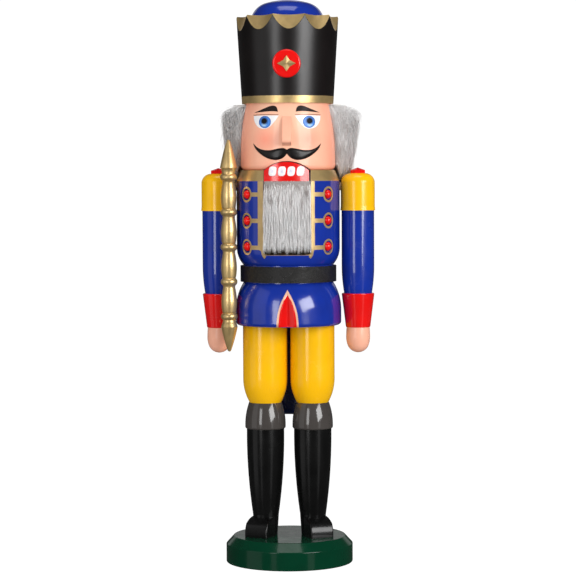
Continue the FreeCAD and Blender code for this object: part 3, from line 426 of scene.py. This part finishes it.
def tooth_finish():
    """Enamel white with a lilac-grey middle to each tooth."""
    f = Finish("tooth_paint")
    x, _, z = f.axes()
    from_centre = f.maths("SUBTRACT", x, TEETH["centre"] * MM)
    turn = f.maths("MULTIPLY", from_centre, 1 / (TEETH["pitch"] * MM))
    share = f.maths("FRACT", f.maths("ADD", turn, 4.0))
    along = f.maths("ABSOLUTE", f.maths("SUBTRACT", share, 0.5))
    off_middle = f.maths("ABSOLUTE", f.maths("SUBTRACT", z, TEETH["middle"] * MM))
    core = f.maths("MULTIPLY", f.span(along, 0.05, 0.30, 1.0, 0.0),
                   f.span(off_middle, 0.0004, 0.0026, 1.0, 0.0))
    patchy = f.maths("MULTIPLY", core, f.span(f.noise(900, 2.0), 0.35, 0.65, 0.35, 1.0))
    return lacquered(f, f.blend(patchy, ENAMEL, ENAMEL_CORE), rough=0.2, spread=0.05, coat=0.5)


def belt_finish():
    """Black grained leather: pebbles of about a millimetre with fine creases between them, the creases
    painted darker as shade.
    """
    f = Finish("belt_leather")
    wander = f.node("ShaderNodeTexNoise")
    f.feed(wander.inputs["Vector"], f.place)
    wander.inputs["Scale"].default_value = 700
    drift = f.node("ShaderNodeVectorMath", operation="SCALE")
    f.feed(drift.inputs[0], wander.outputs["Color"])
    drift.inputs["Scale"].default_value = 0.0008
    warped = f.node("ShaderNodeVectorMath", operation="ADD")
    f.feed(warped.inputs[0], f.stretched((1, 1, 1.6)))
    f.feed(warped.inputs[1], drift.outputs[0])
    pebbles = f.node("ShaderNodeTexVoronoi", feature="DISTANCE_TO_EDGE")
    f.feed(pebbles.inputs["Vector"], warped.outputs[0])
    pebbles.inputs["Scale"].default_value = 850
    grain = f.span(pebbles.outputs["Distance"], 0.0, 0.28)
    # painted shade: the creases between the pebbles are coloured darker than the leather
    f.set(colour=f.blend(grain, BLACK, f.varied(LEATHER, 0.4, 160)))
    f.set(rough=f.wander(300, 0.42, 0.62, 3.0), coat=0.08, coat_rough=0.3)
    f.bump(grain, 0.00016)
    f.bump(f.noise(3500, 2.0), 0.00003)
    return f.material


def fur_finish(name, colour):
    """Animal hair: its shade changes slowly along a strand and quickly across the coat."""
    f = Finish(name)
    streaks = f.noise(9.0, 3.0, (75, 75, 9))
    dark = tuple(c * 0.92 for c in colour)
    light = tuple(min(0.96, c * 1.15) for c in colour)
    f.set(colour=f.blend(f.span(streaks, 0.36, 0.62), dark, light), sheen=0.8, specular=0.35)
    f.set(rough=f.wander(1200, 0.4, 0.6))
    return f.material


def hide_finish():
    """The hide under the beard: dark grey below the lip and as pale as the fur further down."""
    f = Finish("beard_hide")
    z = f.axes()[2]
    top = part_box("beard")[1].z
    shade = f.span(z, top - 0.016, top - 0.004)
    f.set(colour=f.blend(shade, f.varied(HIDE_PALE, 0.08, 400), HIDE_DARK_GREY))
    f.set(rough=f.wander(600, 0.7, 0.9), specular=0.2)
    return f.material


def steel_finish():
    """Drawn steel, with fine lines along its length."""
    f = Finish("pin_steel")
    f.set(colour=f.varied(STEEL, 0.1, 400), metal=1.0)
    f.set(rough=f.wander(900, 0.25, 0.4, 3.0))
    f.bump(f.noise(8.0, 2.0, (4000, 40, 40)), 0.00001)
    return f.material


# ---------------------------------------------------------------- outlines and meshes
def curve_through(points, per=7):
    """Points on a smooth curve through the given ones, ends included."""
    if len(points) < 3:
        return [Vector(p) for p in points]
    p = [Vector(q) for q in points]
    p = [2 * p[0] - p[1], *p, 2 * p[-1] - p[-2]]
    out = []
    for a, b, c, d in zip(p, p[1:], p[2:], p[3:]):
        for i in range(per):
            t = i / per
            out.append(0.5 * (2 * b + (c - a) * t + (2 * a - 5 * b + 4 * c - d) * t * t
                              + (3 * b - a - 3 * c + d) * t ** 3))
    return [*out, p[-2]]


def loop_of(runs):
    """One closed outline from smooth runs that meet at corners."""
    out = []
    for run in runs:
        out.extend(curve_through(run)[:-1])
    return out


def disc(cx, cy, radius, across=1.0, count=36):
    turns = [2 * math.pi * i / count for i in range(count)]
    return [Vector((cx + across * radius * math.cos(t), cy + radius * math.sin(t))) for t in turns]


def mirrored(loop):
    return [Vector((-p.x, p.y)) for p in reversed(loop)]


def on_side(side, loop):
    """An outline drawn for the left side, turned over if it is wanted on the right."""
    return loop if SIDES[side] > 0 else mirrored(loop)


def divided(loop, step):
    """The outline with no side longer than step."""
    out = []
    for a, b in zip(loop, [*loop[1:], loop[0]]):
        pieces = max(1, math.ceil((b - a).length / step))
        out.extend(a.lerp(b, i / pieces) for i in range(pieces))
    return out


def inside(point, loops):
    """True if the point is inside an odd number of the loops."""
    hits = 0
    for loop in loops:
        for a, b in zip(loop, [*loop[1:], loop[0]]):
            if (a.y > point.y) != (b.y > point.y):
                if point.x < a.x + (point.y - a.y) * (b.x - a.x) / (b.y - a.y):
                    hits += 1
    return hits % 2 == 1


def tree_of(*names):
    """What rays hit: the faces of these CAD nodes."""
    corners, faces = [], []
    for name in names:
        mesh = NODES[name].data
        start = len(corners)
        corners.extend(v.co.copy() for v in mesh.vertices)
        faces.extend([start + i for i in poly.vertices] for poly in mesh.polygons)
    return BVHTree.FromPolygons(corners, faces)


def make_mesh(name, corners, faces, material, body, sharp=()):
    mesh = bpy.data.meshes.new(name)
    mesh.from_pydata([tuple(c) for c in corners], [], faces)
    mesh.materials.append(material)
    mesh.shade_smooth()
    if sharp:
        marked = {tuple(sorted(e)) for e in sharp}
        for edge in mesh.edges:
            edge.use_edge_sharp = tuple(sorted(edge.vertices)) in marked
    mesh.validate()
    made = bpy.data.objects.new(name, mesh)
    bpy.context.scene.collection.objects.link(made)
    if body is not None:
        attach(made, body)
    return made


def painted(name, loops, tree, material, slot, lift, rim=0.0, body="figure", grid=0.9,
            origin=Vector((0, -0.09, 0)), along=RIGHT, up=UP, into=-FRONT, crease=False):
    """A coat of paint on the tree's surface inside the outlines, which are in mm along `along` and `up`.

    It stands lift mm proud and thins out over the last rim mm. It is a closed solid with a foot in
    the surface. A crease keeps a row of corners on the middle line.
    """
    sink = 0.25
    loops = [divided(loop, grid) for loop in loops]
    flat, edges = [], []
    for loop in loops:
        start = len(flat)
        flat.extend(loop)
        edges.extend((start + i, start + (i + 1) % len(loop)) for i in range(len(loop)))
    xs, ys = [p.x for p in flat], [p.y for p in flat]
    border = np.array([(p.x, p.y) for p in flat])
    if crease:
        spine = [Vector((0, y)) for y in np.arange(min(ys) + grid / 2, max(ys) - grid / 2, grid)]
        start = len(flat)
        flat.extend(spine)
        edges.extend((start + i, start + i + 1) for i in range(len(spine) - 1))
    for row, y in enumerate(np.arange(min(ys), max(ys), grid * 0.87)):
        for x in np.arange(min(xs) + (row % 2) * grid / 2, max(xs), grid):
            near = np.min(np.hypot(border[:, 0] - x, border[:, 1] - y))
            clear = near > grid * 0.45 and not (crease and abs(x) < grid * 0.45)
            if clear and inside(Vector((x, y)), loops):
                flat.append(Vector((x, y)))
    corners, _, faces, _, _, _ = delaunay_2d_cdt(flat, edges, [], 2, 1e-6)
    faces = [f for f in faces if inside(sum((corners[i] for i in f), Vector((0, 0))) / len(f), loops)]
    tops, feet = [], []
    for p in corners:
        start = origin + along * p.x * MM + up * p.y * MM
        hit, normal, _, _ = tree.ray_cast(start, into)
        if hit is None:
            hit, normal, _, _ = tree.find_nearest(start + into * 0.05)
        near = np.min(np.hypot(border[:, 0] - p.x, border[:, 1] - p.y))
        share = 1.0 if rim <= 0 else 1 - (1 - min(near / rim, 1.0)) ** 2
        height = lift * (0.25 + 0.75 * share) if rim > 0 else lift
        tops.append(hit + normal * height * MM)
        feet.append(hit - normal * sink * MM)
    count = len(tops)
    used = {}
    for face in faces:
        for a, b in zip(face, [*face[1:], face[0]]):
            used[(a, b)] = used.get((a, b), 0) + 1
    rims = [(a, b) for a, b in used if (b, a) not in used]
    normal_sum = Vector()
    for face in faces:
        a, b, c = (tops[i] for i in face[:3])
        normal_sum += (b - a).cross(c - a)
    if normal_sum.dot(into) > 0:
        faces = [list(reversed(f)) for f in faces]
        rims = [(b, a) for a, b in rims]
    solid = [list(f) for f in faces] + [[i + count for i in reversed(f)] for f in faces]
    solid += [[b, a, a + count, b + count] for a, b in rims]
    sharp = rims + [(a + count, b + count) for a, b in rims]
    return make_mesh(name, tops + feet, solid, material, body, sharp)


# ---------------------------------------------------------------- finishes on the CAD nodes
blue = lacquer("blue_lacquer", BLUE)
yellow = lacquer("yellow_lacquer", YELLOW, shade=0.04, coat=0.3, coat_rough=0.1)
red = lacquer("red_lacquer", RED, shade=0.06)
black = lacquer("black_lacquer", BLACK, shade=0.3, rough=0.24, spread=0.05, coat=0.2, coat_rough=0.12)
green = lacquer("green_lacquer", GREEN, shade=0.08, rough=0.16, spread=0.05, coat=0.15, specular=0.2)
grey = lacquer("grey_lacquer", CUFF_GREY, shade=0.08, rough=0.16, spread=0.05)
hand_flesh = lacquer("hand_flesh", HAND_FLESH, shade=0.05, rough=0.34, coat=0.25)
gold = gold_paint("gold_paint")
beech = bare_wood("bare_beech")
steel = steel_finish()

FINISHES = {
    "base_plate": green, "coat_body": coat_finish(), "belt": belt_finish(), "head": head_finish(),
    "nose": hand_flesh, "hat": hat_finish(), "hat_cushion": blue, "hat_rosette": red,
    "rosette_star": gold, "jaw_lever": lever_finish(), "jaw_pin": steel, "sceptre": gold,
}
ENDINGS = {
    "boot": black, "shoe": black, "knee_cuff": grey, "trouser_leg": yellow, "shoulder_cap": yellow,
    "epaulette_stud": red, "sleeve": blue, "wrist_cuff": red, "hand": hand_flesh, "button": red,
    "dowel": beech,
}
for node_name, node in NODES.items():
    finish = FINISHES.get(node_name)
    if finish is None:
        finish = next((m for ending, m in ENDINGS.items() if node_name.endswith(ending)), beech)
    node.data.materials.clear()
    node.data.materials.append(finish)

# ---------------------------------------------------------------- painted face
face = tree_of("head")
ink = lacquer("ink_black", INK, shade=0.3, rough=0.34, spread=0.05, coat=0.12, coat_rough=0.1)
pupil_black = lacquer("pupil_black", PUPIL_BLACK, shade=0.3, rough=0.6, coat=0.0)
brow_brown = lacquer("brow_brown", BROW_BROWN, shade=0.3, rough=0.55, coat=0.05)
lid_brown = lacquer("lid_brown", LID_BROWN, shade=0.15, rough=0.3)
eye_white = lacquer("eye_white", EYE_PAINT, shade=0.03, rough=0.25, coat=0.4)
iris = iris_finish()
enamel = tooth_finish()

iris_top = EYE_WHITE[0][1][1] - 0.25
iris_loop = [Vector((p.x, min(p.y, iris_top))) for p in disc(*IRIS)]
pupil_loop = disc(*PUPIL, count=24)
EYE_COATS = {
    "brow": (loop_of(BROW), brow_brown, "black_lacquer", {"lift": 0.10}),
    "eye_white": (loop_of(EYE_WHITE), eye_white, "flesh_lacquer", {"lift": 0.05}),
    "lid": (loop_of(LID), lid_brown, "flesh_lacquer", {"lift": 0.08, "grid": 0.45}),
    "iris": (iris_loop, iris, "blue_lacquer", {"lift": 0.12, "rim": 0.4, "grid": 0.5}),
    "pupil": (pupil_loop, pupil_black, "black_lacquer", {"lift": 0.20, "rim": 0.5, "grid": 0.4}),
}
for side in SIDES:
    for part, (outline, finish, slot, depths) in EYE_COATS.items():
        painted(f"{side}_{part}", [on_side(side, outline)], face, finish, slot, **depths)

half = [*loop_of(MOUSTACHE), Vector(MOUSTACHE[-1][-1])]
whole = half + [p for p in mirrored(half) if p.x < -ON_AXIS]
painted("moustache", [whole], face, ink, "black_lacquer", lift=0.75, rim=2.6, grid=0.6)

lips = tree_of("jaw_lever")
SQUARENESS = 0.62
for number in range(TEETH["count"]):
    middle_x = TEETH["centre"] + (number - (TEETH["count"] - 1) / 2) * TEETH["pitch"]
    outline = []
    for point in disc(0, 0, 1.0, count=32):
        across = math.copysign(abs(point.x) ** SQUARENESS, point.x) * TEETH["half_width"]
        up_by = math.copysign(abs(point.y) ** SQUARENESS, point.y) * TEETH["half_height"]
        outline.append(Vector((middle_x + across + up_by * TEETH["lean"], TEETH["middle"] + up_by)))
    painted(f"tooth_{number + 1}", [outline], lips, enamel, "red_lacquer", lift=0.55, rim=1.2,
            body="lever", grid=0.5)

# ---------------------------------------------------------------- braid, rings and the skirt's red notch
coat = tree_of("coat_body")
braid_gold = gold_paint("braid_gold", BRAID_GOLD, metal=0.6)
trim_gold = gold_paint("trim_gold", PALE_GOLD, metal=0.2)

for side, sign in SIDES.items():
    inner, outer = BRAID[side]
    strip = loop_of([
        [(inner, BRAID_TOP), (inner, 224.0)],
        [(inner, 224.0), (inner - 0.3, 221.6), (inner - 1.9, 219.6)],
        [(inner - 1.9, 219.6), (inner - 0.6, 218.0)],
        [(inner - 0.6, 218.0), (inner + 0.9, 220.2), (inner + 1.8, 223.6)],
        [(inner + 1.8, 223.6), (outer, 224.6)],
        [(outer, 224.6), (outer, BRAID_TOP)],
        [(outer, BRAID_TOP), (inner, BRAID_TOP)],
    ])
    painted(f"{side}_braid", [on_side(side, strip)], coat, braid_gold, "gold_lacquer", lift=0.10)
    for row, (height, droops) in BUTTON_ROWS.items():
        angle = math.radians(BUTTON_ANGLE) * sign
        outward = Vector((math.sin(angle), -math.cos(angle), 0))
        sideways = Vector((math.cos(angle), math.sin(angle), 0))
        start = outward * 0.06 + Vector((0, 0, height * MM))
        outer_drop, inner_drop, bar_drop = (0.3, 0.1, 0.6) if droops else (0, 0, 0)
        ring = [disc(0, -outer_drop, RING_OUTER, 0.98), disc(0, -inner_drop, RING_INNER, 1.0)]
        painted(f"{side}_{row}_ring", ring, coat, braid_gold, "gold_lacquer", lift=0.14, grid=0.7,
                origin=start, along=sideways, up=UP, into=-outward)
        ring_x = CHEST_RADIUS * math.sin(abs(angle)) - 3.1
        braid_x = outer - 0.4
        low_z = height - BAR_HALF - bar_drop
        high_z = height + BAR_HALF - bar_drop
        corners = [(braid_x, low_z), (ring_x, low_z), (ring_x, high_z), (braid_x, high_z)]
        bar = loop_of(list(zip(corners, [*corners[1:], corners[0]])))
        painted(f"{side}_{row}_bar", [on_side(side, bar)], coat, braid_gold, "gold_lacquer", lift=0.09)

right_run = curve_through(NOTCH)
painted("notch_trim", [right_run + mirrored(right_run[1:])], coat, trim_gold, "gold_lacquer",
        lift=0.08, grid=0.6, crease=True)
narrow = []
for point in right_run:
    trim = NOTCH_TRIM * min(1.0, 0.4 + point.x / 5)
    tip_drop = 2.6 * max(0.0, 1 - point.x / 4)
    narrow.append(Vector((max(0.0, point.x - trim), point.y - tip_drop)))
red_tip = narrow[0]
red_side = [point for point in narrow[1:] if point.x > ON_AXIS]
painted("notch_red", [[red_tip, *red_side, *mirrored(red_side)]], coat, red, "red_lacquer",
        lift=0.16, grid=0.6, crease=True)


# ---------------------------------------------------------------- fur
def strands(name, paths, thickness, tones, tone_of):
    """Closed, tapered, three-sided hairs along paths, an array of hair x point x 3 in metres."""
    hairs, points, _ = paths.shape
    tangent = np.gradient(paths, axis=1)
    tangent /= np.linalg.norm(tangent, axis=2, keepdims=True)
    side = np.cross(tangent, np.array([0.3, 0.2, 0.93]) + 0 * tangent)
    side += 1e-9
    side /= np.linalg.norm(side, axis=2, keepdims=True)
    other = np.cross(tangent, side)
    taper = np.interp(np.arange(points) / (points - 1), [0, 0.6, 1], [1, 0.8, 0])[None, :, None]
    radius = thickness[:, None, None] / 2 * taper
    rings = []
    for corner in range(3):
        turn = 2 * math.pi * corner / 3
        rings.append(paths + radius * (math.cos(turn) * side + math.sin(turn) * other))
    tube = np.stack(rings, axis=2)[:, :-1].reshape(hairs, -1, 3)
    verts = np.concatenate([tube, paths[:, -1:]], axis=1)
    per_hair = verts.shape[1]
    faces = [(0, 2, 1)]
    for ring in range(points - 2):
        for corner in range(3):
            a, b = ring * 3 + corner, ring * 3 + (corner + 1) % 3
            faces += [(a, b, b + 3), (a, b + 3, a + 3)]
    last = (points - 2) * 3
    faces += [(last + corner, last + (corner + 1) % 3, per_hair - 1) for corner in range(3)]
    faces = np.array(faces)
    all_faces = (faces[None] + (np.arange(hairs) * per_hair)[:, None, None]).reshape(-1, 3)
    mesh = bpy.data.meshes.new(name)
    mesh.vertices.add(hairs * per_hair)
    mesh.vertices.foreach_set("co", verts.reshape(-1).astype(np.float32))
    mesh.loops.add(len(all_faces) * 3)
    mesh.loops.foreach_set("vertex_index", all_faces.reshape(-1).astype(np.int32))
    mesh.polygons.add(len(all_faces))
    mesh.polygons.foreach_set("loop_start", np.arange(len(all_faces), dtype=np.int32) * 3)
    mesh.update(calc_edges=True)
    for tone in tones:
        mesh.materials.append(tone)
    mesh.polygons.foreach_set("material_index", np.repeat(tone_of, len(faces)).astype(np.int32))
    mesh.shade_smooth()
    made = bpy.data.objects.new(name, mesh)
    bpy.context.scene.collection.objects.link(made)
    return made


def waves(rng, x, y, count=7, low=0.15, high=0.9):
    """A smooth random field over x and y, about -1 to 1."""
    total = np.zeros_like(x)
    for _ in range(count):
        kx, ky = rng.uniform(low, high) * rng.choice([-1, 1]), rng.uniform(low, high) * 0.35
        total += np.sin(kx * x + ky * y + rng.uniform(0, 2 * math.pi))
    return total / math.sqrt(count)


TONES = [
    fur_finish("fur_light", FUR_LIGHT),
    fur_finish("fur_mid", FUR_MID),
    fur_finish("fur_dark", FUR_DARK),
]


HAIR_COUNT = 7600


def hair_path(root, middle, tip, steps=4):
    """Points on the bend from root past middle to tip."""
    t = np.linspace(0, 1, steps + 1)[None, :, None]
    return root[:, None] * (1 - t) ** 2 + 2 * middle[:, None] * t * (1 - t) + tip[:, None] * t ** 2


def around(azimuth, radius, height):
    """Points from the angle in radians from the front towards +X, and mm."""
    return np.stack([radius * np.sin(azimuth), -radius * np.cos(azimuth), height], axis=-1) * MM


def clumped(rng, x, y, spacing):
    """For each hair, the middle of the lock that it belongs to."""
    column, row = np.round(x / spacing), np.round(y / (spacing * 2.2))
    shift = np.sin(column * 12.9898 + row * 78.233) * 43758.5453
    shift = (shift - np.floor(shift)) - 0.5
    return column * spacing + shift * spacing * 0.6, shift


def beard_fur():
    """Locks hanging from the jaw, darker at the top and pale below. Lengths are in mm."""
    rng = np.random.default_rng(7)
    count = HAIR_COUNT
    slab_low, slab_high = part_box("beard")
    skin = 36.2
    half_width = 16.8
    top = slab_high.z / MM + 0.5
    foot = slab_low.z / MM
    across = rng.uniform(-half_width, half_width, count)
    height = foot + 5 + (top - foot - 5) * rng.uniform(0, 1, count) ** 0.9
    down = (top - height) / (top - foot)
    length = rng.uniform(9, 17, count) * np.interp(down, [0, 0.25, 1], [0.5, 1.0, 1.0])
    lock, tint = clumped(rng, across, height, 2.1)
    ragged = waves(rng, across, 0 * height, count=9, low=0.5, high=3.0) * 1.1
    length = np.minimum(length, height - (foot - 1.6 + ragged + rng.uniform(-1.4, 2.2, count)))
    sway = waves(rng, across, height, low=0.2, high=0.6) * 0.9
    tip_x = across + (lock - across) * 0.6 + sway + rng.normal(0, 0.35, count)
    tip_x = np.clip(tip_x, -half_width - 0.3, half_width + 0.3)
    stand = rng.uniform(0.4, 3.6, count) * np.interp(down, [0, 0.3, 1], [0.5, 1, 0.8])
    to_angle = 1 / (skin + 2)
    root = around(across * to_angle, np.full(count, skin), height)
    middle = around((across * 0.6 + tip_x * 0.4) * to_angle, skin + stand * 1.3, height - length * 0.35)
    tip = around(tip_x * to_angle, skin + stand, height - length)
    paths = hair_path(root, middle, tip)
    darkness = tint * 1.5 + waves(rng, across, height, low=0.3, high=1.1) * 0.5
    darkness += rng.normal(0, 0.35, count)
    # darker towards the top of the beard, paler below
    darkness += np.interp(down, [0, 0.25, 0.45, 1], [1.0, 0.4, -0.9, -1.4])
    tone = np.digitize(darkness, [0.5, 1.4])
    fur = strands("beard_fur", paths, rng.uniform(0.16, 0.32, count) * MM, TONES, tone)
    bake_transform(fur)
    return fur


def shell(azimuths, heights, inner, outer):
    """A closed skin of fur backing between two radii, given as functions of angle and height in mm."""
    rows, columns = len(heights), len(azimuths)
    corners, faces = [], []
    for reach in (outer, inner):
        for h in heights:
            for a in azimuths:
                radius = reach(a, h)
                corners.append(Vector((radius * math.sin(a), -radius * math.cos(a), h)) * MM)
    layer = rows * columns
    for r in range(rows - 1):
        for c in range(columns - 1):
            a = r * columns + c
            faces.append([a, a + 1, a + columns + 1, a + columns])
            faces.append([layer + i for i in (a + columns, a + columns + 1, a + 1, a)])
    edge = ([(c, c + 1) for c in range(columns - 1)]
            + [(layer - 1 - c, layer - 2 - c) for c in range(columns - 1)]
            + [((r + 1) * columns, r * columns) for r in range(rows - 1)]
            + [(r * columns + columns - 1, (r + 1) * columns + columns - 1) for r in range(rows - 1)])
    faces += [[b, a, a + layer, b + layer] for a, b in edge]
    return corners, faces


beard = beard_fur()
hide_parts("beard")


def beard_backing():
    """The hide that the beard grows from, closing the gaps between its hairs."""
    low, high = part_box("beard")
    angles = np.linspace(-16.4, 16.4, 33) / 37.0
    heights = np.linspace(low.z / MM + 3.5, high.z / MM + 0.2, 40)
    corners, faces = shell(angles, heights, lambda a, h: 36.05,
                           lambda a, h: 37.4 + 0.25 * math.sin(a * 60) * math.cos(h * 0.9))
    made = make_mesh("beard_hide", corners, faces, hide_finish(), None)
    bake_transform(made)
    return made


beard_backing()

HAIR_REACH = {"left": 19.5, "right": 15.0, "back": 12.5}
HEAD_LOW, HEAD_HIGH = (corner.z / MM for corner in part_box("head"))


def head_radius(height):
    """The radius of the turned head in mm."""
    return np.interp(height, [HEAD_LOW, HEAD_LOW + 17, HEAD_HIGH], [33.6, 33.6, 30.3])


def hair_line(height):
    """The angle from the front where the hair starts: further forward under the hat than at the jaw."""
    return np.radians(np.interp(height, [298, HEAD_HIGH], [89, 71]))


def bulk(azimuth, height):
    """How far the hair stands off the head, in mm, at an angle from the front towards +X."""
    a = np.abs(azimuth)
    side = np.where(azimuth > 0, HAIR_REACH["left"], HAIR_REACH["right"])
    share = np.clip((a - math.radians(100)) / math.radians(45), 0, 1)
    reach = side * (1 - share) + HAIR_REACH["back"] * share
    opening = np.clip((a - hair_line(height) + 0.03) / 0.30, 0, 1) ** 0.5
    profile = np.interp(height, [262, 272, 284, 296, 312, 322, 327],
                        [0.42, 0.56, 0.76, 0.92, 1.0, 1.0, 0.92])
    return reach * opening * profile


def head_hair():
    """Four tufts round the head, from one side of the face to the other. Lengths are in mm."""
    rng = np.random.default_rng(21)
    made = []
    spans = {"left_hair": (0, math.radians(118)),
             "right_hair": (-math.radians(118), 0),
             "back_hair_left": (math.radians(112), math.pi),
             "back_hair_right": (-math.pi, -math.radians(112))}
    top = HEAD_HIGH - 0.6
    for name, (start, end) in spans.items():
        count = HAIR_COUNT
        height = 283 + (top - 283) * rng.uniform(0, 1, count) ** 0.8
        share = rng.uniform(0, 1, count)
        line = hair_line(height)
        first = line if start == 0 else start
        last = -line if end == 0 else end
        angle = first + (last - first) * share
        skin = head_radius(height) + 0.2
        edge = np.clip((np.abs(angle) - line) / 0.4, 0, 1)
        depth = rng.uniform(0, 1, count) ** 0.7
        length = rng.uniform(17, 30, count) * (0.75 + 0.25 * edge)
        length *= 1 - rng.uniform(0, 0.65, count) * np.interp(height, [312, 324], [0, 1])
        tip_height = np.maximum(height - length, 263 + rng.uniform(0, 9, count) + 9 * (1 - edge))
        lock, tint = clumped(rng, angle * 38, height, 2.8)
        sway = waves(rng, angle * 38, height, low=0.12, high=0.4) * 1.6
        tip_angle = angle + (lock / 38 - angle) * 0.6 + (sway + rng.normal(0, 0.9, count)) / 38
        tip_angle += np.sign(angle) * 0.06 * (1 - edge)
        reach_mid = bulk(angle, height - 4) * (0.25 + 0.75 * depth)
        reach_tip = bulk(tip_angle, tip_height) * (0.35 + 0.65 * depth)
        root = around(angle, skin, height)
        drop = (height - tip_height) * np.interp(height, [314, 324], [0.18, 0.0])
        middle = around((angle + tip_angle) / 2, skin + reach_mid * 1.25, height - drop)
        tip_radius = np.maximum(33.9 + reach_tip, np.where(tip_height < 281, 37.4, 34.0))
        tip = around(tip_angle, tip_radius, tip_height)
        loose = rng.uniform(0, 1, count) < 0.06
        astray = angle[loose]
        away = np.stack([np.sin(astray), -np.cos(astray), np.full(loose.sum(), 0.8)], axis=-1)
        tip[loose] += away * rng.uniform(0.5, 5, (loose.sum(), 1)) * MM
        paths = hair_path(root, middle, tip)
        darkness = tint * 2.2 + waves(rng, angle * 38, height, low=0.2, high=0.7) * 0.6
        # painted shade: hairs lying nearer the head, inside the tuft, are made darker
        darkness += rng.normal(0, 0.35, count) - (depth - 0.5) * 0.6
        tone = np.digitize(darkness, [0.2, 1.15])
        fur = strands(name, paths, rng.uniform(0.18, 0.36, count) * MM, TONES, tone)
        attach(fur, "figure")
        made.append(fur)
    return made


hair = head_hair()
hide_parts("hair")


def hair_backing():
    """The hide under the hair on the head."""
    start = math.radians(92)
    angles = np.linspace(start, 2 * math.pi - start, 80)
    heights = np.linspace(283.5, HEAD_HIGH - 0.5, 26)

    def outer(a, h):
        signed = a if a <= math.pi else a - 2 * math.pi
        return float(head_radius(h) + 0.5 + 0.55 * bulk(np.array(signed), np.array(h)))

    corners, faces = shell(angles, heights, lambda a, h: float(head_radius(h)) + 0.15, outer)
    return make_mesh("hair_hide", corners, faces, TONES[1], "figure")


hair_backing()

# ---------------------------------------------------------------- floor, lights and camera


def studio_floor():
    """A wide pale sheet under the figure, lit from within so that it stays white and shadowless."""
    reach = 14.0
    mesh = bpy.data.meshes.new("floor")
    corners = [(-reach, -reach, 0), (reach, -reach, 0), (reach, reach, 0), (-reach, reach, 0)]
    mesh.from_pydata(corners, [], [(0, 1, 2, 3)])
    made = bpy.data.objects.new("floor", mesh)
    bpy.context.scene.collection.objects.link(made)
    f = Finish("floor_paper")
    f.set(colour=f.varied(FLOOR_GREY, 0.02, 3), rough=0.9, specular=0.0)
    f.shader.inputs["Emission Color"].default_value = (*BACKDROP_WHITE, 1)
    f.shader.inputs["Emission Strength"].default_value = 0.97
    mesh.materials.append(f.material)
    made.visible_glossy = False
    made.visible_diffuse = False


def softbox(name, azimuth, elevation, wide, tall, brightness, turn=0.0, distance=1.6):
    """A rectangular lamp aimed at the figure, `wide` by `tall` degrees as the figure sees it.

    The azimuth is from the front towards +X, and turn rolls the lamp, all in degrees.
    """
    lamp = bpy.data.lights.new(name, "AREA")
    lamp.shape = "RECTANGLE"
    lamp.size, lamp.size_y = (2 * distance * math.tan(math.radians(d / 2)) for d in (wide, tall))
    lamp.energy = math.pi * lamp.size * lamp.size_y * brightness
    made = bpy.data.objects.new(name, lamp)
    bpy.context.scene.collection.objects.link(made)
    a, e = math.radians(azimuth), math.radians(elevation)
    place = Vector((math.sin(a) * math.cos(e), -math.cos(a) * math.cos(e), math.sin(e))) * distance
    middle_of_figure = Vector((0, 0, 0.22))
    made.location = middle_of_figure + place
    aim = (-place).to_track_quat("-Z", "Y") @ Quaternion((0, 0, 1), math.radians(turn))
    made.rotation_euler = aim.to_euler()
    made.visible_camera = False
    return made


def world_light():
    """Even light for matt surfaces, little of it in reflections, and white behind the figure."""
    world = bpy.data.worlds.new("studio")
    bpy.context.scene.world = world
    world.use_nodes = True
    tree = world.node_tree
    path = tree.nodes.new("ShaderNodeLightPath")
    shown = tree.nodes["Background"]
    shown.inputs["Strength"].default_value = 0.48
    for ray, brightness in {"Is Glossy Ray": 0.04, "Is Camera Ray": 1.05}.items():
        other = tree.nodes.new("ShaderNodeBackground")
        other.inputs["Color"].default_value = (*BACKDROP_WHITE, 1)
        other.inputs["Strength"].default_value = brightness
        mix = tree.nodes.new("ShaderNodeMixShader")
        tree.links.new(path.outputs[ray], mix.inputs[0])
        tree.links.new(shown.outputs[0], mix.inputs[1])
        tree.links.new(other.outputs[0], mix.inputs[2])
        shown = mix
    tree.nodes["Background"].inputs["Color"].default_value = (*BACKDROP_WHITE, 1)
    tree.links.new(shown.outputs[0], tree.nodes["World Output"].inputs["Surface"])


def studio_camera():
    lens = bpy.data.cameras.new("camera")
    lens.sensor_width = 36
    lens.lens = 138.6
    lens.clip_end = 60
    made = bpy.data.objects.new("camera", lens)
    bpy.context.scene.collection.objects.link(made)
    distance = 1.581
    height = 0.278
    tilt = math.radians(2.97)
    roll = math.radians(0.25)
    azimuth = math.radians(1.2)
    made.location = (distance * math.sin(azimuth), -distance * math.cos(azimuth), height)
    made.rotation_euler = (math.pi / 2 - tilt, roll, azimuth)
    bpy.context.scene.camera = made


studio_floor()
world_light()
softbox("key", azimuth=42, elevation=12, wide=30, tall=24, brightness=9.5, turn=16)
softbox("upper_left", azimuth=-27, elevation=6, wide=14, tall=28, brightness=5.5)
softbox("strip_right", azimuth=40, elevation=-12, wide=12, tall=26, brightness=0.6)
softbox("strip_left", azimuth=-27, elevation=-16, wide=9, tall=20, brightness=0.5)
softbox("broad_left", azimuth=-66, elevation=8, wide=34, tall=60, brightness=0.45)
softbox("top", azimuth=0, elevation=82, wide=32, tall=26, brightness=3.0)
backdrop = softbox("backdrop", azimuth=180, elevation=16, wide=60, tall=18, brightness=0.38, distance=12)
backdrop.visible_diffuse = False
studio_camera()

scene = bpy.context.scene
scene.view_settings.view_transform = "Standard"
scene.view_settings.look = "None"
